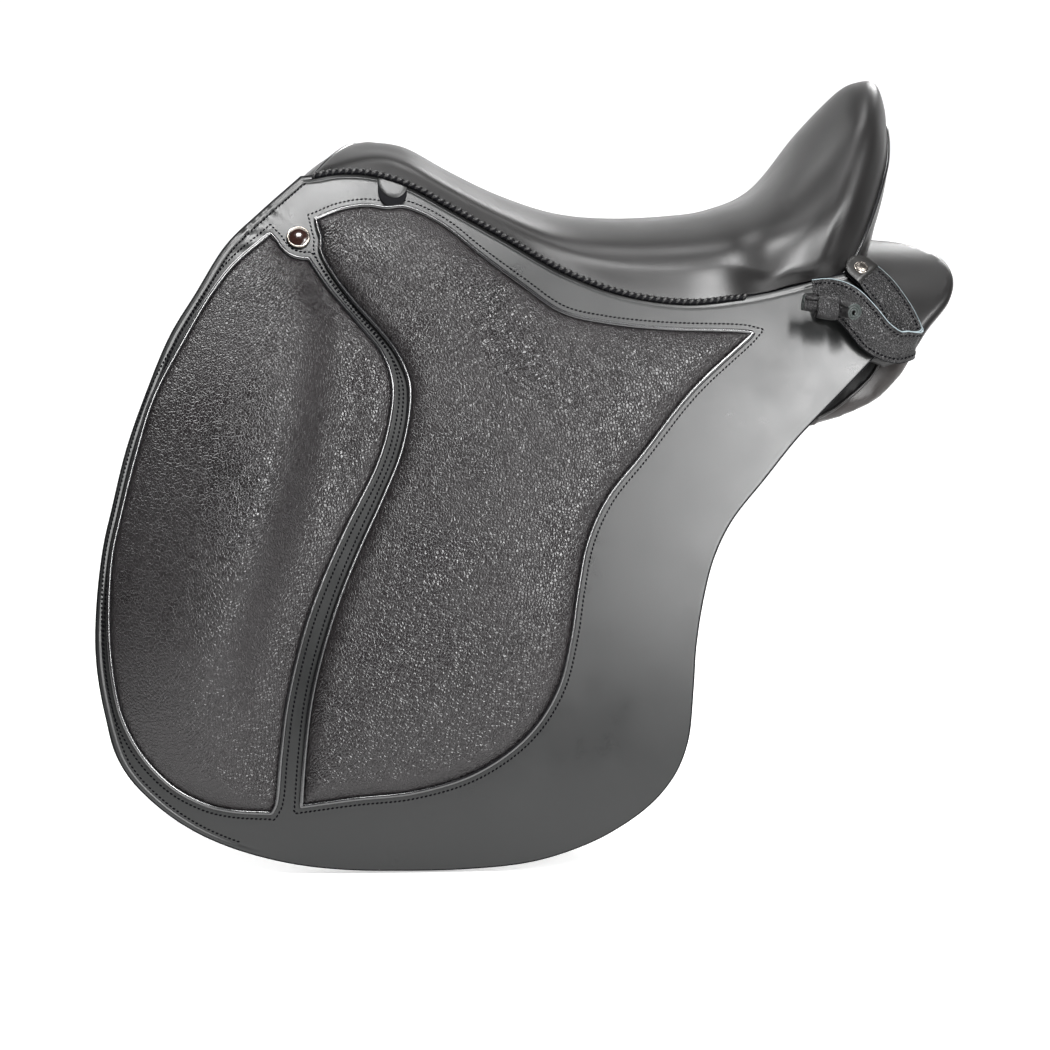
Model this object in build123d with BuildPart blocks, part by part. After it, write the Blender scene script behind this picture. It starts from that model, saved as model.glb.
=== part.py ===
from build123d import *
import math
import os

os.makedirs("parts", exist_ok=True)

# A dressage saddle. +X points to the cantle, +Z up, and the rider's left side lies at -Y.
# The origin is on the centre line, in the channel between the panels, where a rack carries it.

# Overall sizes, in millimetres
saddle_length = 500.0
flap_drop = 400.0
cantle_height = 200.0
flap_half_spread = 228.0
flap_arc_radius = 1050.0

# Clearance between pieces, and the overrun of a cut
fit = 0.3
pad_fit = 0.5
nest_fit = 0.8
overrun = 4.0

# Thickness of each layer, from the outer face of the flap inwards
flap_wall = 5.0
billet_space = 8.0
sweat_wall = 3.0
leg_panel_wall = 12.0

# Seat, tree and webs
cover_wall = 2.4
seam_inset = 1.0
web_wall = 2.0
tree_wall = 9.0
tree_slot_length = 225.0
tree_slot_width = 76.0
web_width = 110.0
head_plate_wall = 4.0
facing_wall = 4.0
facing_lap = 3.0
cantle_back_wall = 2.0

# Pads on the flap
knee_block_height = 38.0
thigh_pad_height = 9.0
piping_width = 3.0
piping_height = 2.6

# Trim
welt_width = 4.0
welt_height = 3.5
badge_diameter = 18.5
badge_height = 2.0
tab_width = 22.0
tab_wall = 2.5

# The fold line about which a flap lifts, above the flap's face at both of its ends
fold_stand = 3.5
fold_gap = 0.35
fold_to_welt = 6.4

# Stirrup bar
bar_length = 54.0
bar_plate_height = 20.0
bar_plate_wall = 3.0
bar_diameter = 8.5
leather_slot = 5.4
catch_length = 16.0
catch_wall = 3.0
catch_width = 8.0
catch_pin_diameter = 3.0
rivet_diameter = 6.0
pin_fit = 0.2

# Girth straps
billet_width = 25.0
billet_wall = 4.0
billet_length = 346.0
billet_hole_diameter = 5.0
billet_hole_pitch = 25.0
billet_holes = 8
hanger_wall = 1.4

# Rear strap with its toggle
strap_width = 24.0
strap_wall = 3.0
toggle_diameter = 12.0
toggle_length = 46.0
strap_rivet_head = 10.0
strap_rivet_shank = 4.0
strap_rivet_head_wall = 2.0
strap_rivet_reach = 5.2

# Rear facing of the panel
lobe_wall = 6.0
lobe_radius_share, lobe_offset_share, lobe_drop_share = 0.79, 0.08, 0.40
lobe_arc_radius = lobe_radius_share * cantle_height
lobe_axis_offset = lobe_offset_share * cantle_height
lobe_axis_drop = lobe_drop_share * cantle_height

# Panels
channel_half_width = 34.0


def along(share):
    """Place along the saddle."""
    return share * saddle_length


def below(share):
    """Height of a place on the flap."""
    return share * flap_drop


def above(share):
    """Height of a place on the seat."""
    return share * cantle_height


def face_y(z, out=0):
    """Half width of the flap's outer face at height z, moved outwards by out."""
    radius = flap_arc_radius + out
    return flap_half_spread - flap_arc_radius + math.sqrt(radius**2 - (z + flap_drop) ** 2)


def between(x, places):
    """Straight interpolation in a list of (x, value) places."""
    for (x_a, v_a), (x_b, v_b) in zip(places, places[1:]):
        if x <= x_b:
            return v_a + (v_b - v_a) * (x - x_a) / (x_b - x_a)
    return places[-1][1]


def write_piece(piece, name):
    piece.part.label = name
    export_step(piece.part, f"parts/{name}.step")


def write_pair(left, name):
    """Write the left piece, and the right one as its mirror image."""
    write_piece(left, f"left_{name}")
    with BuildPart() as right:
        mirror(left.part, about=Plane.XZ)
    write_piece(right, f"right_{name}")


# Stations of the seat, from the pommel to the cantle: place along the saddle, height of the
# seam, height of the middle, width at the seam, and the shoulder as shares of width and rise
seat_shares = [
    (-0.368, 0.605, 0.650, 1.00, 0.62, 0.75),
    (-0.330, 0.635, 0.720, 1.00, 0.62, 0.72),
    (-0.280, 0.640, 0.765, 1.00, 0.60, 0.75),
    (-0.220, 0.595, 0.740, 1.00, 0.62, 0.75),
    (-0.150, 0.500, 0.645, 1.00, 0.66, 0.72),
    (-0.070, 0.388, 0.550, 1.00, 0.70, 0.70),
    (0.020, 0.260, 0.480, 1.00, 0.73, 0.70),
    (0.110, 0.175, 0.455, 1.00, 0.75, 0.70),
    (0.210, 0.140, 0.465, 1.00, 0.77, 0.68),
    (0.300, 0.160, 0.505, 1.00, 0.79, 0.66),
    (0.360, 0.190, 0.600, 1.00, 0.82, 0.62),
    (0.416, 0.225, 0.790, 1.00, 0.90, 0.55),
    (0.470, 0.280, 0.935, 0.90, 0.93, 0.60),
    (0.524, 0.440, 1.000, 0.48, 1.40, 0.60),
    (0.552, 0.610, 0.985, 0.30, 1.70, 0.50),
]
# The tree at the same stations: share of the seat's half width, height of its feet, and height
# of its middle
tree_shares = [
    (0.7899, 0.330, 0.590),
    (0.8454, 0.320, 0.655),
    (0.9458, 0.310, 0.695),
    (0.8912, 0.290, 0.665),
    (0.8374, 0.240, 0.565),
    (0.7672, 0.185, 0.460),
    (0.7055, 0.135, 0.385),
    (0.6935, 0.100, 0.340),
    (0.7216, 0.085, 0.330),
    (0.7760, 0.090, 0.340),
    (0.8074, 0.120, 0.380),
    (0.7810, 0.180, 0.485),
    (0.7781, 0.310, 0.655),
    (0.7029, 0.460, 0.620),
]
side_bulge_share = 0.12

seam_places = [(along(row[0]), above(row[1])) for row in seat_shares]


def bulged(start, end, share):
    """Middle point of an arc that stands out of the chord on its left by a share of it."""
    return (
        (start[0] + end[0]) / 2 - (end[1] - start[1]) * share,
        (start[1] + end[1]) / 2 + (end[0] - start[0]) * share,
    )


def seat_outline(row, inset):
    """Seam corner, shoulder and middle of the seat's skin, drawn in by inset."""
    x_share, seam_share, top_share, width_share, shoulder_share, rise_share = row
    seam = above(seam_share)
    top = above(top_share)
    half = (face_y(seam) - seam_inset) * width_share
    shoulder = (half * shoulder_share - inset, seam + (top - seam) * rise_share - inset * rise_share)
    return (half - inset, seam), shoulder, (0, top - inset)


def seat_section(row, inset, drop, shift):
    """Full section of the seat, closed by a flat line at its seam."""
    base, shoulder, top = seat_outline(row, inset)
    left, right = (-base[0], base[1]), base
    left_low, right_low = (-base[0], base[1] - drop), (base[0], base[1] - drop)
    left_shoulder = (-shoulder[0], shoulder[1])
    with BuildSketch(Plane.YZ.offset(along(row[0]) + shift)) as section:
        with BuildLine():
            ThreePointArc(left, bulged(left, left_shoulder, side_bulge_share), left_shoulder)
            ThreePointArc(left_shoulder, top, shoulder)
            ThreePointArc(shoulder, bulged(shoulder, right, side_bulge_share), right)
            if drop > 0:
                Polyline(right, right_low, left_low, left)
            else:
                Line(right, left)
        make_face()
    return section.sketch


def tree_half(index):
    """Half width of the tree at a station."""
    base, _, _ = seat_outline(seat_shares[index], 0)
    return tree_shares[index][0] * base[0]


def arch_circle(index):
    """Radius and centre height of the tree's arch, and the height of its feet."""
    _, foot_share, top_share = tree_shares[index]
    half = tree_half(index)
    foot = above(foot_share)
    rise = above(top_share) - foot
    radius = (half**2 + rise**2) / (2 * rise)
    return radius, foot + rise - radius, foot


def arch_half_width(index, out, z):
    radius, centre, _ = arch_circle(index)
    return math.sqrt((radius + out) ** 2 - (z - centre) ** 2)


def arch_section(index, outer, inner, shift):
    """Arch between two offsets from the tree's upper face, standing on the tree's feet."""
    radius, centre, foot = arch_circle(index)
    out_half = arch_half_width(index, outer, foot)
    in_half = arch_half_width(index, inner, foot)
    with BuildSketch(Plane.YZ.offset(along(seat_shares[index][0]) + shift)) as section:
        with BuildLine():
            ThreePointArc((-out_half, foot), (0, centre + radius + outer), (out_half, foot))
            Line((out_half, foot), (in_half, foot))
            ThreePointArc((in_half, foot), (0, centre + radius + inner), (-in_half, foot))
            Line((-in_half, foot), (-out_half, foot))
        make_face()
    return section.sketch


def foam_section(index):
    """Seat section that sits on the webs instead of a flat base."""
    inset = cover_wall + nest_fit
    base, shoulder, top = seat_outline(seat_shares[index], inset)
    radius, centre, _ = arch_circle(index)
    lift = web_wall + 2 * nest_fit
    arch = arch_half_width(index, lift, base[1])
    left, left_shoulder = (-base[0], base[1]), (-shoulder[0], shoulder[1])
    with BuildSketch(Plane.YZ.offset(along(seat_shares[index][0]))) as section:
        with BuildLine():
            ThreePointArc(left, bulged(left, left_shoulder, side_bulge_share), left_shoulder)
            ThreePointArc(left_shoulder, top, shoulder)
            ThreePointArc(shoulder, bulged(shoulder, base, side_bulge_share), base)
            Line(base, (arch, base[1]))
            ThreePointArc((arch, base[1]), (0, centre + radius + lift), (-arch, base[1]))
            Line((-arch, base[1]), left)
        make_face()
    return section.sketch


# Tree: a moulded arch from pommel to cantle, open along its middle, with a flat seat
# on each side for the stirrup bar
boss_front_share = -0.236
boss_low_share = 0.31
boss_overlap = 17.0
boss_margin = 1.0
slot_centre_share = 0.105
bar_front = along(boss_front_share)
bar_low = above(boss_low_share)
boss_face_share = 0.72789
boss_face = face_y(bar_low) * boss_face_share
boss_length = bar_length + 2 * boss_margin
last = len(tree_shares) - 1
with BuildPart() as saddle_tree:
    loft([arch_section(i, 0, -tree_wall, fit if i == 0 else 0) for i in range(last + 1)], ruled=True)
    with BuildSketch(Plane.XY):
        with Locations((along(slot_centre_share), 0)):
            SlotOverall(tree_slot_length, tree_slot_width)
    extrude(amount=cantle_height, mode=Mode.SUBTRACT)
    for side in (-1, 1):
        across = Align.MAX if side < 0 else Align.MIN
        with Locations((bar_front - boss_margin, side * (boss_face - boss_overlap), bar_low)):
            Box(boss_length, boss_overlap, bar_plate_height, align=(Align.MIN, across, Align.MIN))
write_piece(saddle_tree, "saddle_tree")

# Head plate: the steel arch under the front of the tree
with BuildPart() as head_plate:
    head_top = -tree_wall - nest_fit
    loft([arch_section(i, head_top, head_top - head_plate_wall, 0) for i in (1, 2, 3)], ruled=True)
write_piece(head_plate, "head_plate")

# Webs: the strained cover over the tree's opening, which carries the foam
with BuildPart() as seat_webs:
    loft([arch_section(i, fit + web_wall, fit, 0) for i in range(4, 11)], ruled=True)
    Box(2 * saddle_length, web_width, 2 * cantle_height, mode=Mode.INTERSECT)
write_piece(seat_webs, "seat_webs")

# Seat foam
with BuildPart() as seat_foam:
    loft([foam_section(i) for i in range(1, last + 1)], ruled=True)
write_piece(seat_foam, "seat_foam")

# Seat cover: one skin from pommel to cantle
end = len(seat_shares) - 1
with BuildPart() as seat_cover:
    loft([seat_section(row, 0, 0, 0) for row in seat_shares], ruled=True)
    inner_shifts = {0: cover_wall, end: -cover_wall}
    loft(
        [
            seat_section(row, cover_wall, overrun, inner_shifts.get(i, 0))
            for i, row in enumerate(seat_shares)
        ],
        ruled=True,
        mode=Mode.SUBTRACT,
    )
write_piece(seat_cover, "seat_cover")

# Pommel facing: the leather arch that closes the front of the tree
with BuildPart() as pommel_facing:
    loft(
        [
            arch_section(0, facing_lap, -tree_wall, -fit),
            arch_section(0, facing_lap, -tree_wall, -fit - facing_wall),
        ],
        ruled=True,
    )
write_piece(pommel_facing, "pommel_facing")


# Cantle back: the leather panel over the rear of the cantle
cantle_back_top_share = 0.88
with BuildPart() as cantle_back:
    rear_rows = seat_shares[end - 1 :]
    back_out = -nest_fit - cantle_back_wall
    loft([seat_section(row, back_out, 0, s) for row, s in zip(rear_rows, (0, -back_out))], ruled=True)
    loft(
        [seat_section(row, -nest_fit, overrun, s) for row, s in zip(rear_rows, (0, nest_fit))],
        ruled=True,
        mode=Mode.SUBTRACT,
    )
    with Locations((0, 0, above(cantle_back_top_share) - saddle_length / 2)):
        Box(2 * saddle_length, saddle_length, saddle_length, mode=Mode.INTERSECT)
write_piece(cantle_back, "cantle_back")


def sheet(outline, outer, inner, low, high):
    """Piece of leather cut to an outline of (x, z) from the curved layer between two offsets."""
    with BuildPart() as piece:
        front = min(x for x, z in outline) - overrun
        rear = max(x for x, z in outline) + overrun
        low, high = low - overrun, high + overrun
        middle = (low + high) / 2
        with BuildSketch(Plane.YZ.offset(front)):
            with BuildLine():
                outer_low, outer_high = (-face_y(low, outer), low), (-face_y(high, outer), high)
                inner_low, inner_high = (-face_y(low, inner), low), (-face_y(high, inner), high)
                ThreePointArc(outer_low, (-face_y(middle, outer), middle), outer_high)
                Line(outer_high, inner_high)
                ThreePointArc(inner_high, (-face_y(middle, inner), middle), inner_low)
                Line(inner_low, outer_low)
            make_face()
        extrude(amount=rear - front)
    return piece


def cut_sheet(edge, straight, outer, inner):
    """Curved sheet whose outline is a smooth edge through points, closed by straight runs."""
    outline = edge + straight
    heights = [z for x, z in outline]
    blank = sheet(outline, outer, inner, min(heights), max(heights))
    with BuildPart() as piece:
        add(blank.part)
        with BuildSketch(Plane.XZ):
            with BuildLine():
                if len(edge) > 2:
                    Spline(*edge)
                    Polyline(edge[-1], *straight, edge[0])
                else:
                    Polyline(*edge, *straight, close=True)
            make_face()
        extrude(amount=2 * flap_half_spread, mode=Mode.INTERSECT)
    return piece


def flap_points(shares):
    return [(along(x), below(z)) for x, z in shares]


# Fold line of the flap
fold_front_share = (-0.420, 0.3375)
fold_rear_share = (0.490, -0.0485)
fold_front = (along(fold_front_share[0]), below(fold_front_share[1]))
fold_rear = (along(fold_rear_share[0]), below(fold_rear_share[1]))


def fold_height(x):
    fold_slope = (fold_rear[1] - fold_front[1]) / (fold_rear[0] - fold_front[0])
    return fold_front[1] + fold_slope * (x - fold_front[0])


for name, (x, z) in (("fold front", fold_front), ("fold rear", fold_rear)):
    print(name, round(x, 3), round(-face_y(z, fold_stand), 3), round(z, 3))

# Flap: front, lower and rear edge, then its upper edge along the fold line and the seat's welt
flap_edge_shares = [
    (-0.390, 0.290),
    (-0.454, 0.2425),
    (-0.506, 0.180),
    (-0.554, 0.085),
    (-0.592, 0.008),
    (-0.628, -0.100),
    (-0.658, -0.2075),
    (-0.678, -0.310),
    (-0.698, -0.430),
    (-0.703, -0.545),
    (-0.692, -0.685),
    (-0.670, -0.7825),
    (-0.624, -0.855),
    (-0.542, -0.930),
    (-0.408, -0.985),
    (-0.252, -1.000),
    (-0.058, -0.990),
    (0.072, -0.935),
    (0.136, -0.880),
    (0.174, -0.8225),
    (0.194, -0.760),
    (0.208, -0.5825),
    (0.220, -0.495),
    (0.238, -0.415),
    (0.279, -0.3275),
    (0.370, -0.195),
    (0.478, -0.070),
]
fold_meets_shares = (0.238, -0.078, -0.336, -0.360)
flap_edge = flap_points(flap_edge_shares)
rear_meet, front_meet, head_meet, head_end = [along(share) for share in fold_meets_shares]
under_welt = [(x, z - fold_to_welt) for x, z in reversed(seam_places) if front_meet < x < rear_meet]
rear_corner_share = 0.492
flap_top = [
    (along(rear_corner_share), fold_height(along(rear_corner_share)) - fold_gap),
    (rear_meet, min(fold_height(rear_meet) - fold_gap, between(rear_meet, seam_places) - fold_to_welt)),
    *under_welt,
    (front_meet, min(fold_height(front_meet) - fold_gap, between(front_meet, seam_places) - fold_to_welt)),
    (head_meet, fold_height(head_meet) - fold_gap),
    (head_end, between(head_end, seam_places) - fold_to_welt),
]
flap = cut_sheet(flap_edge, flap_top, 0, -flap_wall)
write_pair(flap, "flap")

# Skirts: the fixed leather between the fold line and the seat
seam_gap = 0.4
front_low = [(x, fold_height(x) + fold_gap) for x in (head_meet, front_meet)]
front_high = [(x, z - seam_gap) for x, z in reversed(seam_places) if head_meet < x < front_meet]
meet_high = (front_meet, between(front_meet, seam_places) - seam_gap)
head_high = (head_meet, between(head_meet, seam_places) - seam_gap)
if meet_high[1] > front_low[1][1]:
    front_high = [meet_high] + front_high
front_skirt = cut_sheet(front_low, front_high + [head_high], 0, -flap_wall)
write_pair(front_skirt, "front_skirt")

skirt_tail_shares = [(0.486, 0.050), (0.494, 0.150)]
tail = along(rear_corner_share)
tail_top_share = 0.470
rear_low = [(rear_meet, fold_height(rear_meet) + fold_gap), (tail, fold_height(tail) + fold_gap)]
rear_high = [
    (x, z - seam_gap) for x, z in reversed(seam_places) if rear_meet < x <= along(tail_top_share)
]
rear_start = (rear_meet, between(rear_meet, seam_places) - seam_gap)
rear_skirt = cut_sheet(rear_low, flap_points(skirt_tail_shares) + rear_high + [rear_start], 0, -flap_wall)
write_pair(rear_skirt, "rear_skirt")

# Welt: the overcast edge along the seat's seam
welt_front_share, welt_rear_share = -0.336, 0.346
welt_line = [(along(welt_front_share), between(along(welt_front_share), seam_places))]
welt_line += [(x, z) for x, z in seam_places if along(welt_front_share) < x < along(welt_rear_share)]
welt_line += [(along(welt_rear_share), between(along(welt_rear_share), seam_places))]
welt_top = [(x, z + welt_width / 2) for x, z in welt_line]
welt_low = [(x, z - welt_width / 2) for x, z in reversed(welt_line)]
seat_welt = cut_sheet(welt_top[:2], welt_top[2:] + welt_low, fit + welt_height, fit)
write_pair(seat_welt, "seat_welt")

# Tab under the welt at the front
tab_centre_share, tab_low_share = -0.246, 0.266
tab_x, tab_low = along(tab_centre_share), below(tab_low_share)
tab_left, tab_right = tab_x - tab_width / 2, tab_x + tab_width / 2
tab_edge_shares = [(-0.5, 0.33), (-0.25, 0.08), (0.25, 0), (0.5, 0.17)]
tab_foot = [(tab_x + x * tab_width, tab_low + z * tab_width) for x, z in tab_edge_shares]
tab_top = [(x, between(x, seam_places) - welt_width / 2 - fit) for x in (tab_left, tab_right)]
stirrup_tab = cut_sheet([tab_top[0], *tab_foot, tab_top[1]], [], fit + tab_wall, fit)
write_pair(stirrup_tab, "stirrup_tab")

# Pads: height on the flap, front edge, rear edge, thickness and place of the crest
knee_pad_shares = [
    (0.180, -0.454, -0.426, 0.14, 0.55),
    (0.138, -0.494, -0.380, 0.34, 0.55),
    (0.075, -0.532, -0.336, 0.63, 0.56),
    (0.000, -0.568, -0.286, 0.87, 0.57),
    (-0.088, -0.605, -0.254, 1.00, 0.58),
    (-0.200, -0.636, -0.270, 1.00, 0.57),
    (-0.325, -0.662, -0.316, 0.89, 0.55),
    (-0.463, -0.679, -0.367, 0.74, 0.54),
    (-0.600, -0.677, -0.402, 0.55, 0.52),
    (-0.713, -0.658, -0.422, 0.40, 0.50),
    (-0.800, -0.612, -0.430, 0.29, 0.50),
    (-0.863, -0.542, -0.435, 0.16, 0.50),
]
thigh_pad_shares = [
    (0.238, -0.332, -0.214, 0.45, 0.5),
    (0.213, -0.360, -0.166, 0.80, 0.5),
    (0.163, -0.353, -0.116, 1.00, 0.5),
    (0.105, -0.328, -0.054, 1.00, 0.5),
    (0.050, -0.292, 0.010, 1.00, 0.5),
    (0.025, -0.274, 0.084, 1.00, 0.5),
    (0.008, -0.262, 0.304, 1.00, 0.5),
    (-0.100, -0.223, 0.208, 1.00, 0.5),
    (-0.220, -0.240, 0.127, 1.00, 0.5),
    (-0.313, -0.272, 0.068, 1.00, 0.5),
    (-0.413, -0.309, 0.035, 1.00, 0.5),
    (-0.513, -0.341, 0.020, 1.00, 0.5),
    (-0.613, -0.365, 0.003, 0.95, 0.5),
    (-0.713, -0.381, -0.034, 0.90, 0.5),
    (-0.780, -0.387, -0.090, 0.80, 0.5),
    (-0.838, -0.392, -0.196, 0.60, 0.5),
    (-0.860, -0.393, -0.330, 0.40, 0.5),
]
pad_shoulder_share = 0.12
pad_shoulder_rise_share = 0.62
pad_side_bulge_share = 0.18
pad_crown_bulge_share = 0.09


def pad_section(row, height):
    """Level section of a pad: flat on the flap, with drawn-in sides and a crown."""
    z_share, front_share, rear_share, thick_share, crest_share = row
    z = below(z_share)
    front, rear = along(front_share), along(rear_share)
    base = -face_y(z, pad_fit)
    thick = height * thick_share
    width = rear - front
    step = width * pad_shoulder_share
    rise = base - thick * pad_shoulder_rise_share
    crest = (front + width * crest_share, base - thick)
    start, stop = (front, base), (rear, base)
    left, right = (front + step, rise), (rear - step, rise)
    with BuildSketch(Plane.XY.offset(z)) as section:
        with BuildLine():
            ThreePointArc(start, bulged(left, start, pad_side_bulge_share), left)
            ThreePointArc(left, bulged(crest, left, pad_crown_bulge_share), crest)
            ThreePointArc(crest, bulged(right, crest, pad_crown_bulge_share), right)
            ThreePointArc(right, bulged(stop, right, pad_side_bulge_share), stop)
            Line(stop, start)
        make_face()
    return section.sketch


def pad(shares, height):
    with BuildPart() as piece:
        loft([pad_section(row, height) for row in reversed(shares)], ruled=True)
    return piece


def piping(shares):
    """Narrow raised edge all round a pad."""
    right = [(along(row[2]), below(row[0])) for row in shares]
    left = [(along(row[1]), below(row[0])) for row in reversed(shares)]
    outline = right + left
    heights = [z for x, z in outline]
    reach = fit + piping_width
    wide = [(min(x for x, z in outline) - reach, 0), (max(x for x, z in outline) + reach, 0)]
    blank = sheet(wide, pad_fit + piping_height, pad_fit, min(heights), max(heights))
    with BuildPart() as piece:
        add(blank.part)
        with BuildSketch(Plane.XZ):
            with BuildLine():
                Polyline(*outline, close=True)
            make_face()
            offset(amount=reach)
            with BuildLine():
                Polyline(*outline, close=True)
            inner = make_face(mode=Mode.PRIVATE)
            offset(inner, amount=fit, mode=Mode.SUBTRACT)
        extrude(amount=2 * flap_half_spread, mode=Mode.INTERSECT)
    return piece


write_pair(pad(knee_pad_shares, knee_block_height), "knee_pad")
write_pair(pad(thigh_pad_shares, thigh_pad_height), "thigh_pad")
write_pair(piping(knee_pad_shares), "knee_piping")
write_pair(piping(thigh_pad_shares), "thigh_piping")

# Badge: a plain round stud between the two pads
badge_share = (-0.394, 0.1925)
badge_x, badge_z = along(badge_share[0]), below(badge_share[1])
badge_half = badge_diameter / 2
badge_edges = [(badge_x - badge_half, badge_z), (badge_x + badge_half, badge_z)]
badge_blank = sheet(
    badge_edges, pad_fit + badge_height, pad_fit, badge_z - badge_half, badge_z + badge_half
)
with BuildPart() as badge:
    add(badge_blank.part)
    with BuildSketch(Plane.XZ):
        with Locations((badge_x, badge_z)):
            Circle(badge_half)
    extrude(amount=2 * flap_half_spread, mode=Mode.INTERSECT)
write_pair(badge, "badge")

# Sweat flap: the thin inner flap behind the girth straps
sweat_edge_shares = [
    (-0.400, 0.140),
    (-0.486, 0.100),
    (-0.544, 0.010),
    (-0.604, -0.110),
    (-0.648, -0.230),
    (-0.684, -0.370),
    (-0.699, -0.530),
    (-0.694, -0.670),
    (-0.674, -0.7825),
    (-0.628, -0.860),
    (-0.540, -0.925),
    (-0.400, -0.962),
    (-0.240, -0.970),
    (-0.060, -0.950),
    (0.050, -0.890),
    (0.110, -0.800),
    (0.132, -0.690),
    (0.146, -0.560),
    (0.172, -0.420),
    (0.215, -0.280),
    (0.230, -0.150),
]
sweat_top_shares = [
    (0.180, -0.030),
    (0.120, -0.015),
    (0.040, -0.005),
    (-0.050, 0.030),
    (-0.130, 0.075),
    (-0.250, 0.130),
]
sweat_out = -flap_wall - billet_space
sweat_in = sweat_out - sweat_wall
sweat_flap = cut_sheet(flap_points(sweat_edge_shares), flap_points(sweat_top_shares), sweat_out, sweat_in)
write_pair(sweat_flap, "sweat_flap")

# Leg panel: the thin padded part of the panel under the rider's leg
leg_edge_shares = [
    (-0.560, -0.190),
    (-0.612, -0.300),
    (-0.645, -0.500),
    (-0.640, -0.680),
    (-0.590, -0.810),
    (-0.490, -0.880),
    (-0.340, -0.900),
    (-0.160, -0.890),
    (-0.020, -0.835),
    (0.050, -0.720),
    (0.075, -0.550),
    (0.110, -0.375),
    (0.150, -0.225),
]
leg_top_shares = [(0.130, -0.195), (-0.540, -0.185)]
leg_out = sweat_in - fit
leg_edge, leg_top = flap_points(leg_edge_shares), flap_points(leg_top_shares)
leg_panel = cut_sheet(leg_edge, leg_top, leg_out, leg_out - leg_panel_wall)
write_pair(leg_panel, "leg_panel")

# Rear facing: the leather lobe over the back of the panel
lobe_front_shares = [(0.478, -0.618), (0.480, -0.350)]


def lobe_height(y, out=0):
    """Height of the rear facing at half width y, moved outwards by out."""
    return math.sqrt((lobe_arc_radius + out) ** 2 - (y + lobe_axis_offset) ** 2) - lobe_axis_drop


def plan_points(shares):
    return [(along(x), y * cantle_height) for x, y in shares]


lobe_half_share, lobe_inner_share = 0.62, 0.11
lobe_half_width = lobe_half_share * cantle_height
lobe_inner_width = lobe_inner_share * cantle_height
lobe_edge_shares = [
    (0.512, -0.110),
    (0.560, -0.110),
    (0.605, -0.175),
    (0.640, -0.275),
    (0.652, -0.390),
    (0.640, -0.475),
    (0.600, -0.560),
    (0.566, -0.618),
]
with BuildPart() as rear_facing:
    with BuildSketch(Plane.YZ.offset(along(lobe_front_shares[0][0]) - overrun)):
        with BuildLine():
            outer_in = (-lobe_inner_width / 2, lobe_height(lobe_inner_width / 2))
            outer_out = (-lobe_half_width, lobe_height(lobe_half_width))
            inner_in = (-lobe_inner_width / 2, lobe_height(lobe_inner_width / 2, -lobe_wall))
            inner_out = (-lobe_half_width, lobe_height(lobe_half_width, -lobe_wall))
            mid = (lobe_half_width + lobe_inner_width) / 2
            ThreePointArc(outer_in, (-mid, lobe_height(mid)), outer_out)
            Line(outer_out, inner_out)
            ThreePointArc(inner_out, (-mid, lobe_height(mid, -lobe_wall)), inner_in)
            Line(inner_in, outer_in)
        make_face()
    extrude(amount=saddle_length / 2)
    with BuildSketch(Plane.XY.offset(-cantle_height)):
        with BuildLine():
            Spline(*plan_points(lobe_edge_shares))
            lobe_edge = plan_points(lobe_edge_shares)
            Polyline(lobe_edge[-1], *plan_points(lobe_front_shares), lobe_edge[0])
        make_face()
    extrude(amount=2 * cantle_height, mode=Mode.INTERSECT)
write_pair(rear_facing, "rear_facing")

# Panel: the flocked cushion on the horse's back. For each station of the tree: the height of
# its outer lower edge, the share of the flap's spread there, and its height at the channel
panel_shares = [
    (-0.025, 1.00, 0.025),
    (-0.075, 1.00, -0.012),
    (-0.112, 1.00, -0.037),
    (-0.137, 1.00, -0.050),
    (-0.155, 1.00, -0.062),
    (-0.165, 1.00, -0.075),
    (-0.170, 1.00, -0.080),
    (-0.172, 1.00, -0.085),
    (-0.175, 0.98, -0.090),
    (-0.178, 0.95, -0.095),
    (-0.180, 0.92, -0.095),
    (-0.180, 0.88, -0.085),
    (-0.165, 0.80, -0.065),
]
# Behind the tree: place along the saddle, outer upper and outer lower half width and inner half
# width as shares of the lobe's, then the heights of the two lower edges
panel_tail_shares = [
    (0.524, 0.90, 0.98, 0.24, -0.130, -0.075),
    (0.570, 0.88, 0.92, 0.30, -0.070, -0.035),
    (0.604, 0.76, 0.78, 0.42, 0.012, 0.075),
]
under_lobe = -lobe_wall - fit
contact_bulge_share = 0.09
side_bulge_small_share = 0.02
channel_flare_share = 1.18
panel_crown_share = 0.7
lobe_first = 11


def panel_section(x, top_in, top_mid, top_out, low_out, low_in):
    """Section of the left panel across the saddle, from its corners."""
    with BuildSketch(Plane.YZ.offset(x)) as section:
        with BuildLine():
            ThreePointArc(top_in, top_mid, top_out)
            ThreePointArc(top_out, bulged(low_out, top_out, side_bulge_small_share), low_out)
            ThreePointArc(low_out, bulged(low_in, low_out, contact_bulge_share), low_in)
            ThreePointArc(low_in, bulged(top_in, low_in, contact_bulge_share), top_in)
        make_face()
    return section.sketch


def lobe_point(half):
    """Point of the panel's top, just under the rear facing."""
    return (-half, lobe_height(half, under_lobe))


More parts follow.
